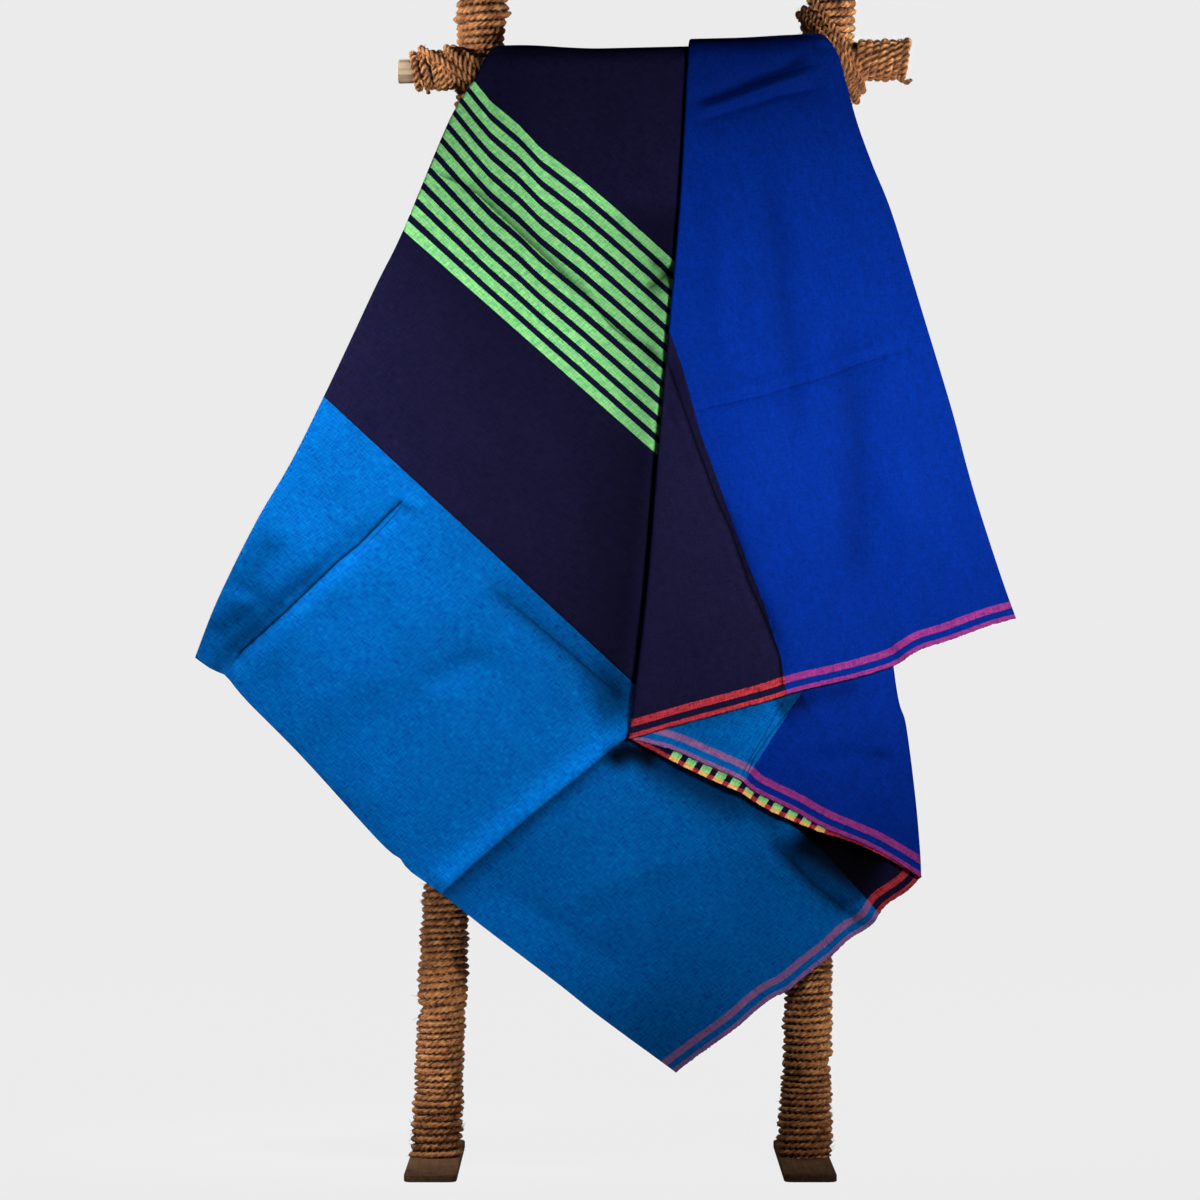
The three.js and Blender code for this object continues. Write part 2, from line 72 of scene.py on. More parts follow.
# Cloth: a tube pressed flat, whose two plies lie this far to each side of the middle surface.
PLY_OFFSET = 0.6
LAYER_PITCH = 3.7                      # between the layers at the bar
LAYER_SPREAD = 4.6                     # how far they part in a metre below it
CLOTH_THICKNESS = 2.4
ARC_STEPS = 8
FIRST_RADIUS = (BAR["radius"] + SEAT_GAP + CLOTH_THICKNESS / 2) / math.cos(math.pi / ARC_STEPS / 2)


def seen(*places):
    """Places in the front view as rows of (x, z)."""
    return np.array([(right - VIEW_LEFT, VIEW_FLOOR - down) for right, down in places], float)


def shade(red, green, blue):
    """A colour given as it looks on a screen, 0 to 255, in the linear numbers that a shader takes."""
    def linear(value):
        value = value / 255
        return value / 12.92 if value <= 0.04045 else ((value + 0.055) / 1.055) ** 2.4
    return (linear(red), linear(green), linear(blue), 1.0)


# Lengthwise lines of the folded cloth below the bar, in (x, z).
FRONT_LINES = {
    "left": [(-122.5, 1106.5), (-129.5, 1092), (-154, 1052), (-201.5, 940), (-227.5, 887), (-272, 792),
             (-311.5, 712), (-347, 651), (-386.5, 572), (-409.5, 514)],
    "inner": [(84.5, 1111), (76.5, 968), (65.5, 842), (54.5, 716), (42.5, 572), (26, 434)],
    "outer": [(229.5, 1114), (262, 800), (290, 507), (302.5, 446), (311.5, 376), (316.5, 319), (317.5, 295)],
    "right": [(236.5, 1114), (252.5, 1054), (268.5, 1009), (289.5, 956), (321, 852), (347, 765), (361.5, 709),
              (375, 662), (398, 592), (411.5, 554.5)],
    "hidden": [(106, 1111), (101, 750), (96.5, 406)],
}
# Lower outlines of the layers, left to right. The middle layer's two plies end at different heights.
FLAP_LOWER = [(-409.5, 514), (-250, 478), (-80, 438), (96.5, 406)]
PANEL_FOLD_SIDE = [(-409.5, 514), (-392.5, 502), (-379, 496), (-358.5, 472), (-303.5, 417), (-223.5, 330),
                   (-202.5, 313), (-194.5, 302), (-163.5, 280), (-123.5, 248), (-83.5, 217.5), (-43.5, 187),
                   (-3.5, 155), (71.9, 98.7)]
PANEL_HEM_SIDE = [(71.9, 98.7), (93.5, 115), (132.2, 143), (154, 162), (170.4, 174), (183.5, 180),
                  (208.7, 200.4), (231.5, 218), (246, 232), (268, 246), (281.5, 265), (304.5, 281),
                  (317.5, 295)]
MIDDLE_HEM_FRONT_PLY = [(26, 434), (66.5, 412.6), (106.3, 393.2), (136.9, 380), (152, 370), (175.5, 357.5),
                        (217.5, 340.2), (240, 333.5), (271.5, 320.5), (317.5, 295)]
MIDDLE_HEM_BACK_PLY = [(26, 434), (67.5, 423), (98.5, 410), (136.5, 393), (149.5, 382), (190, 362),
                       (220.5, 345), (271.5, 323), (317.5, 295.5)]
FRONT_HEM = [(26, 434), (91, 452.5), (156.5, 470), (182.5, 478), (199.5, 483), (225.4, 488.7), (259.5, 497),
             (291.7, 507.3), (306.5, 517), (320, 524.5), (345.9, 532.6), (380.4, 545.5), (411.5, 554.5)]
BACK_LINES = {
    "hidden": {"top_x": 107.5, "back_x": 107.5, "hem_x": 102.0, "drop": 62.0},
    "left": {"top_x": -103.0, "back_x": -82.0, "hem_x": 22.0, "drop": 262.0},
    "outer": {"top_x": 209.0, "back_x": 185.0, "hem_x": 168.0, "drop": 436.0},
    "inner": {"top_x": 87.0, "back_x": 87.0, "hem_x": 46.0, "drop": 498.0},
    "right": {"top_x": 213.0, "back_x": 186.0, "hem_x": 118.0, "drop": 556.0},
}
BACK_HEM_WAVES = [(60.0, 9.0, 40.0), (140.0, -7.0, 30.0)]       # x, how far down, half width

# The folded layers from the back to the front, the lines at their sides, and their columns of faces.
LAYERS = ["flap", "panel", "middle", "front"]
SIDES = {"flap": ("left", "hidden"), "panel": ("left", "outer"),
         "middle": ("inner", "outer"), "front": ("inner", "right")}
STRIPS = {"flap": 34, "panel": 125, "middle": 54, "front": 72}
CORNER_SHARE = 0.6                     # of the panel's width, up to its lowest corner
TURN_ANGLES = np.radians([0, 30, 60, 90, 120, 150, 180])
ROLL_ANGLES = np.radians([15, 35, 55, 75, 90])
FRONT_ROWS = 222
BAR_ROWS = 24
BACK_ROWS = 38
FRONT_ROW_EASE = 1.08
EDGE_ROWS = (0, 0.00004, 0.00018, 0.00045, 0.001, 0.0025)      # shares up from the hem, where it is rounded
CORNER_BLEND = 0.015

# Where the cloth rides over the lashings.
LEFT_LIFT = {"full_x": -90.0, "none_x": 0.0, "front": 10.5, "top": 4.5, "back": 0.5}
RIGHT_LIFT = {"full_x": 192.0, "none_x": 130.0, "front": 6.2, "top": 1.2, "back": 0.0}
LIFT_FADE = (900.0, 1068.0)

# Two straight creases of the big panel: their ends, heights, how far they reach above and below, and the
# shares of their length over which they come up and go down.
PRESSED_CREASE = {"start": (-163.5, 284.0), "end": (31.5, 437.0), "rise": 15.0, "fall": 11.0, "upper": 190.0,
                  "lower": 270.0, "comes": (-0.6, 0.1), "rise_goes": (0.45, 1.0), "fall_goes": (0.9, 1.6)}
TUCK = {"start": (-379.5, 498.0), "end": (-197.5, 676.0), "depth": 2.6, "upper": 55.0, "lower": 24.0,
        "goes": (-0.1, 0.2)}
SWAYS = [(4.5, 640.0, 1500.0, 0.9), (2.0, 230.0, 2600.0, 2.2)]  # depth, length in x, length in z, phase
SWAY_GROWTH = 450.0
WAVES = {"count": 16, "shortest": 45.0, "growth": 1.16, "height": 0.0032, "bend": 0.6, "bend_length": 3.1}
BACK_RIPPLE = {"depth": 1.5, "length": 24.0}

# Lines that more than one of the tables below draws.
SLANT_PUCKER = seen((485, 582), (512, 604), (546, 632), (570, 652), (594, 674), (618, 692))
CREASE_EDGE = seen((438, 896), (468, 868), (492, 847), (536, 809), (580, 774), (611, 749), (632, 733))
TROUGH = seen((766, 834), (779, 848), (798, 868), (816, 886), (851, 914))
TUCK_FOLD = seen((205, 642), (240, 616), (273, 592))
TUCK_SIDE = seen((243, 605), (258, 570), (282, 530))
LONG_FOLD = seen((838, 300), (852, 400), (856, 500), (852, 610))
INNER_FOLD = seen((756, 120), (772, 210), (786, 330), (800, 470))
HEM_PUCKER = seen((885, 640), (898, 655), (912, 668))

# Finer creases by layer: depth out of the cloth, half widths above and below, sharpness, fades at the ends,
# and the line from left to right.
CREASES = {
    "panel": [
        (-7.0, 11, 5, 1.3, (0.1, 0.5), seen((224, 674), (241, 651), (282, 615), (337, 562), (358, 545),
            (406, 496))),
        (-5.0, 26, 9, 1.7, (0.1, 0.5), seen((206, 668), (232, 650), (282, 600), (337, 552))),
        (-3.0, 3, 4, 1.3, (0.3, 0.1), seen((362, 549), (385, 524), (404, 505))),
        (3.0, 5, 4, 1.5, (0.4, 0.2), seen((400, 500), (408, 502), (417, 509))),
        (7.5, 16, 6, 1.1, (0.05, 0.06), seen((438, 890), (468, 862), (492, 841), (536, 803), (580, 768),
            (611, 743), (634, 727))),
        (-5.0, 14, 18, 1.6, (0.2, 0.15), seen((485, 580), (512, 602), (546, 630), (570, 650), (594, 672),
            (618, 691))),
        (-9.0, 22, 24, 1.8, (0.4, 0.3), seen((575, 705), (596, 702), (612, 697), (624, 690))),
        (4.0, 12, 9, 1.5, (0.3, 0.3), seen((622, 736), (630, 725), (634, 700))),
        (-6.5, 9, 4, 1.2, (0.15, 0.1), seen((429, 168), (442, 176), (468, 185), (489, 203), (510, 222),
            (534, 248), (576, 290), (600, 309), (615, 328), (646, 357))),
        (4.5, 4, 8, 1.4, (0.2, 0.1), seen((431, 184), (470, 197), (507, 232), (556, 284), (602, 325),
            (636, 356))),
        (-5.0, 6, 6, 1.6, (0.3, 0.1), seen((646, 258), (658, 266), (674, 272))),
        (-6.0, 7, 7, 1.6, (0.3, 0.1), seen((642, 296), (655, 285), (674, 268))),
        (4.0, 6, 6, 1.6, (0.3, 0.1), seen((640, 284), (652, 274), (668, 262))),
        (-3.5, 8, 8, 2.0, (0.3, 0.3), seen((472, 84), (486, 104), (503, 128), (530, 155))),
        (-9.0, 7, 11, 1.4, (0.2, 0.1), TROUGH),
        (6.0, 9, 8, 1.5, (0.2, 0.1), seen((752, 842), (775, 866), (806, 890), (838, 914))),
        (-12.0, 26, 22, 2.0, (0.3, 0.2), seen((800, 838), (845, 862), (885, 878))),
        (-6.0, 6, 8, 1.5, (0.2, 0.05), seen((790, 872), (810, 888), (832, 906), (858, 924))),
        (6.0, 6, 6, 1.5, (0.3, 0.05), seen((850, 905), (868, 916), (884, 921))),
        (-5.0, 12, 10, 1.8, (0.3, 0.2), seen((640, 762), (704, 792), (745, 806))),
        (-3.5, 12, 12, 1.8, (0.3, 0.3), seen((420, 690), (455, 668), (500, 655))),
        (3.0, 14, 14, 1.8, (0.4, 0.4), seen((560, 905), (640, 870), (730, 850))),
        (-3.0, 16, 16, 1.8, (0.4, 0.4), seen((470, 870), (560, 930), (650, 985))),
        (-4.0, 10, 14, 1.6, (0.2, 0.3), TUCK_FOLD),
        (-5.0, 16, 16, 1.8, (0.2, 0.4), TUCK_SIDE),
        (3.0, 18, 18, 1.8, (0.3, 0.3), seen((250, 640), (285, 590), (330, 545))),
    ],
    "middle": [
        (-4.0, 8, 8, 1.6, (0.3, 0.2), seen((742, 792), (757, 763), (777, 724), (792, 705))),
        (3.6, 9, 9, 1.7, (0.3, 0.3), seen((700, 742), (735, 735), (765, 715))),
        (-5.0, 14, 12, 1.8, (0.2, 0.2), seen((770, 712), (790, 700), (812, 694))),
        (-3.5, 9, 9, 1.7, (0.3, 0.3), seen((790, 760), (850, 755), (905, 762))),
        (3.0, 8, 8, 1.7, (0.3, 0.3), seen((810, 700), (830, 730), (835, 770))),
    ],
    "front": [
        (-6.0, 4, 9, 1.2, (0.06, 0.02), seen((666, 356), (684, 408), (688, 419), (697, 445), (716, 497),
            (731, 530), (749, 582), (764, 615), (780, 656), (783, 682))),
        (4.0, 7, 4, 1.3, (0.1, 0.1), seen((668, 385), (684, 428), (706, 488), (738, 570), (757, 618))),
        (-3.0, 4, 4, 1.5, (0.2, 0.2), seen((664, 404), (670, 419), (679, 432))),
        (2.6, 4, 4, 1.5, (0.2, 0.2), seen((662, 418), (674, 424), (684, 419))),
        (-3.4, 6, 9, 1.5, (0.15, 0.15), seen((690, 100), (720, 92), (748, 79), (780, 68), (800, 56),
            (814, 48))),
        (4.4, 5, 5, 1.5, (0.2, 0.2), seen((690, 112), (728, 101), (760, 89), (800, 76), (822, 70))),
        (-4.0, 4, 5, 1.3, (0.2, 0.2), seen((692, 122), (735, 108), (780, 94), (826, 86))),
        (4.0, 7, 6, 1.5, (0.3, 0.3), seen((796, 44), (812, 40), (830, 42))),
        (-2.6, 6, 8, 1.3, (0.05, 0.2), seen((695, 410), (764, 394), (824, 376), (860, 363), (896, 352),
            (925, 345))),
        (2.2, 7, 6, 1.4, (0.1, 0.2), seen((696, 401), (764, 385), (824, 367), (860, 354), (896, 343))),
        (-3.4, 15, 15, 1.8, (0.3, 0.2), LONG_FOLD),
        (3.0, 15, 15, 1.8, (0.3, 0.2), seen((876, 300), (898, 420), (905, 520), (906, 640))),
        (-2.4, 13, 13, 1.8, (0.3, 0.3), seen((905, 330), (925, 410), (950, 500), (985, 600))),
        (2.6, 14, 14, 1.8, (0.3, 0.3), seen((706, 130), (716, 220), (724, 330), (745, 450))),
        (-3.0, 14, 14, 1.8, (0.3, 0.3), INNER_FOLD),
        (-3.2, 9, 9, 1.8, (0.3, 0.05), HEM_PUCKER),
    ],
    "flap": [],
}

# Shade painted into the cloth's colour, by layer: soft shade in its hollows, creases and under hems, broad
# painted shade where less light falls, and a painted highlight where the darkness is negative. Columns: how
# dark, half widths above and below, sharpness, fades at the ends, and the line from left to right.
PAINTED_SHADES = {
    "flap": [],
    "panel": [
        (0.6, 13, 6, 1.6, (0.05, 0.75), seen((210, 676), (232, 655), (282, 607), (330, 562))),
        (0.3, 5, 5, 1.6, (0.3, 0.3), TUCK_FOLD),
        (0.22, 9, 9, 1.6, (0.3, 0.4), TUCK_SIDE),
        (0.3, 9, 4, 1.6, (0.2, 0.15), seen((466, 183), (489, 201), (510, 220), (534, 246), (576, 288),
            (598, 305))),
        (0.85, 6, 6, 1.6, (0.25, 0.1), seen((644, 292), (657, 281), (674, 268))),
        (0.65, 5, 5, 1.6, (0.3, 0.1), seen((646, 256), (658, 264), (674, 274))),
        (0.6, 5, 5, 1.6, (0.3, 0.1), seen((640, 340), (652, 352), (668, 366))),
        (0.97, 11, 16, 3.0, (0.25, 0.2), seen((601, 768), (612, 758), (627, 750), (644, 752), (664, 764))),
        (-0.24, 20, 4, 1.8, (0.05, 0.06), seen((438, 886), (468, 858), (492, 837), (536, 799), (580, 764),
            (611, 739), (632, 724))),
        (0.12, 50, 50, 2.0, (0.3, 0.3), seen((285, 490), (330, 465), (385, 470))),
        (0.45, 5, 10, 1.6, (0.15, 0.2), SLANT_PUCKER),
        (0.62, 30, 30, 1.8, (0.4, 0.2), seen((580, 712), (604, 704), (624, 690), (638, 676))),
        (0.6, 9, 16, 1.6, (0.12, 0.1), seen((634, 748), (704, 788), (746, 803), (790, 828))),
        (0.42, 18, 15, 2.0, (0.2, 0.2), seen((640, 766), (704, 798), (752, 822))),
        (0.94, 50, 24, 3.0, (0.25, 0.2), seen((780, 828), (845, 866), (886, 882))),
        (0.4, 4, 4, 1.6, (0.2, 0.2), seen((850, 912), (862, 922), (872, 924))),
        (0.55, 62, 16, 1.5, (0.2, 0.05), seen((612, 740), (627, 600), (644, 450), (660, 330), (672, 200))),
        (0.35, 6, 6, 1.6, (0.3, 0.3), seen((300, 770), (340, 800), (362, 838))),
        (0.6, 6, 19, 1.8, (0.2, 0.1), seen((796, 832), (824, 853), (869, 902))),
        (0.5, 8, 13, 1.6, (0.15, 0.1), TROUGH),
        (0.2, 130, 90, 2.0, (0.4, 0.01), seen((560, 985), (660, 1010), (760, 960), (900, 850))),
        (0.14, 60, 60, 2.0, (0.3, 0.01), seen((610, 1015), (680, 1075))),
    ],
    "front ply of middle": [
        (0.5, 7, 4, 1.8, (0.05, 0.05), seen((650, 750), (672, 749), (702, 762), (740, 779), (753, 790),
            (794, 810), (824, 827), (875, 849))),
    ],
    "middle": [
        (0.75, 15, 15, 1.8, (0.3, 0.1), seen((772, 712), (788, 704), (806, 696))),
        (0.4, 7, 9, 1.6, (0.3, 0.3), seen((790, 706), (820, 694), (870, 684))),
        (0.25, 4, 4, 1.6, (0.3, 0.3), seen((862, 756), (880, 753), (900, 756))),
        (0.4, 6, 17, 1.6, (0.25, 0.2), seen((662, 728), (700, 717), (740, 707), (775, 699))),
    ],
    "front": [
        (0.36, 60, 85, 2.0, (0.01, 0.01), seen((660, 45), (870, 45))),
        (0.45, 6, 3, 1.6, (0.2, 0.1), seen((716, 488), (731, 521), (749, 573), (764, 606), (782, 650))),
        (0.3, 6, 10, 1.6, (0.15, 0.15), seen((692, 102), (720, 94), (748, 82), (780, 71), (800, 58),
            (814, 53))),
        (0.4, 3, 3, 1.6, (0.2, 0.2), seen((800, 48), (812, 44), (822, 52), (832, 48))),
        (0.26, 17, 17, 1.8, (0.3, 0.2), LONG_FOLD),
        (0.2, 13, 13, 1.8, (0.3, 0.3), INNER_FOLD),
        (0.35, 4, 4, 1.6, (0.3, 0.1), HEM_PUCKER),
    ],
}

# Sharp lines painted into the cloth's colour, by ply: painted shade along creases, a painted highlight where
# the darkness is negative, and darker lines along the middle layer's seam. Columns: the layer, how dark, half
# widths above and below, fades at the ends, and the line from left to right.
PAINTED_LINES = {
    "front": [
        ("panel", 0.5, 1.6, 5.0, (0.35, 0.12), SLANT_PUCKER),
        ("panel", 0.62, 1.6, 18.0, (0.04, 0.05), CREASE_EDGE),
        ("panel", -0.6, 26.0, 1.6, (0.04, 0.05), CREASE_EDGE),
        ("panel", 0.55, 5.0, 12.0, (0.4, 0.1), TROUGH),
        ("panel", 0.95, 5.0, 2.0, (0.12, 0.02), seen((224, 674), (241, 651), (282, 615), (337, 562),
            (358, 545), (390, 512), (404, 499))),
        ("panel", 0.7, 1.3, 1.3, (0.25, 0.1), seen((363, 547), (385, 525), (403, 505))),
        ("panel", 0.72, 9.0, 1.4, (0.05, 0.12), seen((434, 172), (451, 179), (477, 193), (497, 212),
            (532, 244), (584, 293), (610, 325), (627, 339), (645, 348), (665, 370))),
        ("front", 0.92, 2.2, 3.8, (0.03, 0.02), seen((667, 358), (684, 408), (688, 419), (697, 445),
            (716, 497), (731, 530), (749, 582), (764, 615), (780, 656), (783, 690))),
        ("front", 0.35, 1.6, 2.6, (0.1, 0.15), seen((690, 105), (728, 93), (760, 81), (812, 66),
            (834, 62))),
        ("front", 0.28, 1.8, 5.0, (0.02, 0.25), seen((695, 411), (764, 395), (824, 377), (860, 364),
            (896, 353), (925, 346))),
    ],
    "back": [
        ("middle", 0.75, 1.4, 1.4, (0.1, 0.05), seen((745, 780), (753, 760), (768, 737), (781, 721),
            (797, 702))),
        ("middle", 0.6, 1.2, 1.2, (0.1, 0.05), seen((741, 778), (748, 762), (761, 740), (777, 712),
            (784, 702))),
    ],
}
LAYER_APART = 2000.0                   # keeps the layers' face maps apart

# Lines across which the pattern runs, each at its distance round the tube from the cloth's right edge.
PANEL_PATTERN = [
    (443.0, seen((470, 75), (474, 80.4), (490.5, 100.5), (519, 124.5), (540, 147), (582, 178.5), (612, 204),
                 (654, 241.5), (673.5, 259.5))),
    (600.0, seen((405, 232), (659, 456))),
    (765.0, seen((324, 397), (635, 685), (790, 823), (824, 853), (869, 902), (878, 913))),
    (1043.0, seen((194, 658), (672, 1072))),
]
JOIN = seen((560, 61), (669, 330), (682, 366), (701, 434), (719, 484), (738, 537), (752, 574), (765, 606),
            (782, 663), (786, 690))
JOIN_AT = 241.0
PAST_JOIN_RATE = 0.96                  # round the tube, per millimetre beside the join
BAR_INNER_AT = 131.0                   # of the front layer's inner fold at the bar
FLAP_FOLD = seen((501, 42), (194, 658))
MIDDLE_PATTERN = {"place": (28.5, 434.0), "at": 404.4, "per_right": 0.77, "per_down": 0.5,
                  "joins_sides": (560.0, 700.0)}
FAR_FROM_HEM = 400.0
HEM_STEP = 8                           # of a hem's points, enough to measure the way in from it


# Colours of the cloth's fields: the deeper and the brighter thread.
FIELDS = {
    "royal": (shade(0, 30, 107), shade(1, 40, 135)),
    "navy": (shade(14, 12, 36), shade(23, 21, 51)),
    "green": (shade(90, 186, 116), shade(168, 240, 150)),
    "teal": (shade(0, 64, 145), shade(0, 106, 178)),
}
# Colours of the border stripes where they cross each field.
BORDERS = {
    "royal": (shade(96, 34, 108), shade(158, 56, 124)),
    "navy": (shade(112, 20, 36), shade(196, 62, 70)),
    "green": (shade(206, 150, 84), shade(245, 200, 118)),
    "teal": (shade(104, 72, 126), shade(150, 102, 150)),
}
GREEN_STRIPES = {"start": 443.0, "pitch": 14.78, "width": 9.0, "count": 11}
FRONT_PLY_FIELDS = [(0, "royal"), (241, "navy"), (765, "teal")]
BACK_PLY_FIELDS = [(0, "royal"), (190, "teal"), (512.5, "royal"), (800, "navy"), (880, "teal")]
FIELD_SLOTS = 10
BORDER_SPAN = 25.0
BORDER_STRIPES = [(0.0, 1), (3.9, 0), (10.2, 1), (17.2, 0)]
CLOTH_SHEEN = shade(40, 110, 235)
DARKEST_PAINTED_LINE = 0.04                    # light left in the darkest painted line
# Noise along the cloth's threads: its rate round the tube and up it, per metre, and its detail.
THREADS = {
    "field wander": (90, 900, 2.0), "hem wander": (700, 120, 2.0),
    "warp": (1100, 110, 2.0), "weft": (110, 1100, 2.0),
    "slubs": (330, 26, 3.0), "cross slubs": (22, 380, 3.0),
    "patches": (34, 34, 4.0), "bands": (170, 9, 3.0),
    "fine warp": (2200, 300, 2.0), "fine weft": (300, 2200, 2.0),
}
FIELD_WANDER = 0.0016                  # of the fields' borders and of the hem's stripes, in metres
HEM_WANDER = 0.0022
THREAD_CONTRAST = 5.5
EDGE_CORD = {"radius": 0.55, "swell": (0.5, 2.1), "waver": 0.16, "sides": 5, "step": 1.55}

# Coir: its colours from dark to light, and the shade painted into the rope's hollows, darkest in the hollows
# and none on the crests.
COIR_TONES = [(0.34, shade(66, 36, 18)), (0.43, shade(128, 78, 42)), (0.5, shade(174, 112, 64)),
              (0.58, shade(212, 150, 92)), (0.68, shade(240, 200, 146))]
COIR_HOLLOW_SHADE = [(0.0, (0.05, 0.04, 0.03, 1.0)), (0.3, (0.22, 0.2, 0.18, 1.0)),
                (0.62, (0.75, 0.74, 0.73, 1.0)), (0.9, (1.0, 1.0, 1.0, 1.0))]
COIR_FIBRES = {"fine": (110, 620), "coarse": (45, 260)}
POLE_SHADES = (shade(108, 88, 66), shade(176, 154, 126))
FOOT_SHADES = (shade(74, 50, 32), shade(126, 92, 62))
GRAIN_ACROSS = 420.0                   # rates of the wood's grain, per metre
GRAIN_ALONG = 14.0

# Unevenness of the rope binding along an upright: share of the height and how much its radius swells.
BINDING_SWELL = [(0.0, 2.6), (0.03, 2.2), (0.08, 0.8), (0.14, 1.3), (0.2, -0.6), (0.28, 0.5), (0.36, -0.4),
                 (0.46, 0.4), (0.56, -0.5), (0.66, 0.2), (0.76, -0.6), (0.86, -0.3), (0.93, -0.2),
                 (0.965, 1.4), (1.0, 1.6)]
BINDING = {"pitch": 7.25, "rows_per_turn": 7, "sides": 74, "twist": 13.5, "sunk": 2.6, "deepest": 2.4,
           "relief_span": 5.6, "relief_gain": 1.1, "roughness": 0.3, "notch_height": 5.5}
# What wavers on a binding: a number added to its seed, how far, and over what length.
BINDING_WAVERS = {
    "turns": (0, 0.55, 31), "twist": (1, 1.2, 60), "rope radius": (2, 0.10, 45), "body": (3, 0.7, 3),
    "turn height": (5, 0.8, 1.0), "relief": (6, 0.9, 5.5), "fine relief": (7, 0.6, 2.4),
}
# Places where a binding is pinched or bulges: height, angle round the upright, depth.
BINDING_NOTCHES = {
    "left": [(158.0, math.pi, 4.5), (72.0, math.pi, 2.0), (240.0, 0.0, 1.8), (1160.0, math.pi, -3.0),
             (1168.0, 0.0, -4.5)],
    "right": [(104.0, 0.0, 2.5), (190.0, math.pi, 1.6), (1150.0, math.pi, -2.0)],
}
WOBBLE_VALUES = 4096
WOBBLE_START = 2000

# Two-strand rope: its strands' places and radii as shares of its own radius, and how it is drawn.
STRAND_REACH = 0.46
STRAND_RADIUS = 0.58
ROPE = {"step": 1.35, "sides": 12, "end_share": 0.45, "end_length": 3.0, "waver": 0.06, "waver_length": 9}
# Rope on the bar's ends: where each turn lies, the angle at which it starts, and its loose ends.
BAR_ROPES = {
    "left": {"turns": [-191.5, -184.5, -171.0, -165.0, -158.5, -152.0], "start": 80.0, "radius": 3.9},
    "right": {"turns": [306.0, 299.0, 291.0, 283.5, 275.5, 268.0, 260.5, 253.5], "start": 100.0,
              "radius": 4.4},
}
LASHING_STRANDS = {
    "left": [(-37, -23.0, 1.0), (-39, -16.5, 1.7), (-41, -10.0, 1.0), (-43, -3.2, 1.6), (-39, 3.0, 1.2),
             (-46, -8.0, 6.8), (-34, -15.0, 6.6)],
    "right": [(-54, 0.5, 1.2), (-57, 6.8, 1.7), (-53, 13.2, 1.1), (-58, 18.8, 1.7), (-50, 8.5, 6.6)],
}
LOOSE_ENDS = {
    "left": [[(-185.5, -13, 1093), (-180, -15, 1090), (-176.5, -17, 1085), (-175.5, -18, 1079)]],
    "right": [[(297, -14, 1098), (299, -17, 1094), (303, -18, 1091.5), (307, -18, 1092.5),
               (309.5, -17, 1095.5)]],
}
TWIST = 13.0
COIL_STEPS = 60                        # points in each turn of a coil
COIL_CROSSING = 0.62                   # share of a turn in which it crosses to the next place
COIL_SLACK = 0.7
HULL_STEPS = 72
HAIRS = {"on_upright": 2250, "near_floor": 450, "floor_zone": 60.0, "on_rope": 240, "length": 6.0,
         "floor_length": 6.6, "radius": 0.34, "rows": 4, "sides": 3, "root": 0.8}

# Wood.
CROSSBAR = {"sides": 40, "steps": 150, "skin": 0.3, "worn": 1.5, "end_rings": (0.0, 0.35, 0.9, 1.8)}
POLE_TOP = [(-14.0, 17.0), (1.2, 17.0), (1.7, 16.4), (1.9, 15.6)]     # height past the rope's end, radius
POLE_SIDES = 36
CORNER_STEPS = 7

# Stage, camera and light, in metres.
STAGE_RADIUS = 9.0
STAGE_Z = -0.0004
STAGE_SIDES = 64
STAGE_SHADE = shade(235, 235, 235)
CAMERA_DISTANCE = 5.0
CAMERA_X = -3.5
CAMERA_Z = 572.0
CAMERA_LENS = 150.0
CLOTH_FRONT_Y = -34.0

# Softboxes: place, the point each is aimed at, size, power and how widely it spreads, in degrees.
SOFTBOXES = {
    "left": ((-0.40, -0.45, 1.505), (-0.298, -0.07, 0.682), 0.12, 0.95, 34.4),
    "right": ((0.376, -0.754, 0.678), (0.177, -0.07, 0.775), 0.16, 4.0, 118.3),
    "joint left": ((-0.58, -0.55, 1.12), (-0.175, -0.02, 1.135), 0.05, 0.06, 13),
    "joint right": ((0.80, -0.42, 1.15), (0.272, -0.02, 1.135), 0.05, 0.055, 14),
    "low left": ((-0.47, -0.57, 0.02), (-0.165, 0.01, 0.19), 0.08, 0.142, 38),
    "low right": ((0.66, -0.42, 0.04), (0.205, 0.01, 0.17), 0.08, 0.062, 36),
    "front": ((0.2, -3.6, 1.2), (0.0, -0.07, 0.65), 2.4, 0.45, 180),
    "behind left": ((-1.9, 1.7, 1.3), (0.0, 0.0, 0.65), 1.5, 12.0, 180),
    "behind right": ((1.9, 1.7, 1.3), (0.0, 0.0, 0.65), 1.5, 12.0, 180),
}
AMBIENT = 0.03


def smooth(start, end, value):
    part = np.clip((value - start) / (end - start), 0, 1)
    return part * part * (3 - 2 * part)


def lerp(start, end, share):
    return start + (end - start) * share


def lengths_along(path):
    """The distance from a path's start at each of its points."""
    return np.concatenate([[0], np.cumsum(np.linalg.norm(np.diff(path, axis=0), axis=1))])


def unit(vectors):
    return vectors / np.maximum(np.linalg.norm(vectors, axis=-1, keepdims=True), 1e-9)


def round_angles(count):
    return np.arange(count) / count * 2 * math.pi


class Line:
    """A smooth line through points, read by the share of its length."""

    def __init__(self, points, steps=40):
        points = np.array(points, float)
        last = len(points) - 1
        along = np.linspace(0, last, steps * last + 1)
        start = np.minimum(along.astype(int), last - 1)
        part = (along - start)[:, None]
        before, here = points[np.maximum(start - 1, 0)], points[start]
        there, after = points[start + 1], points[np.minimum(start + 2, last)]
        leave, arrive = (there - before) / 2, (after - here) / 2
        self.points = ((2 * here - 2 * there + leave + arrive) * part ** 3
                       + (3 * there - 3 * here - 2 * leave - arrive) * part ** 2 + leave * part + here)
        lengths = lengths_along(self.points)
        self.share = lengths / lengths[-1]

    def at(self, share):
        return np.stack([np.interp(share, self.share, column) for column in self.points.T], -1)


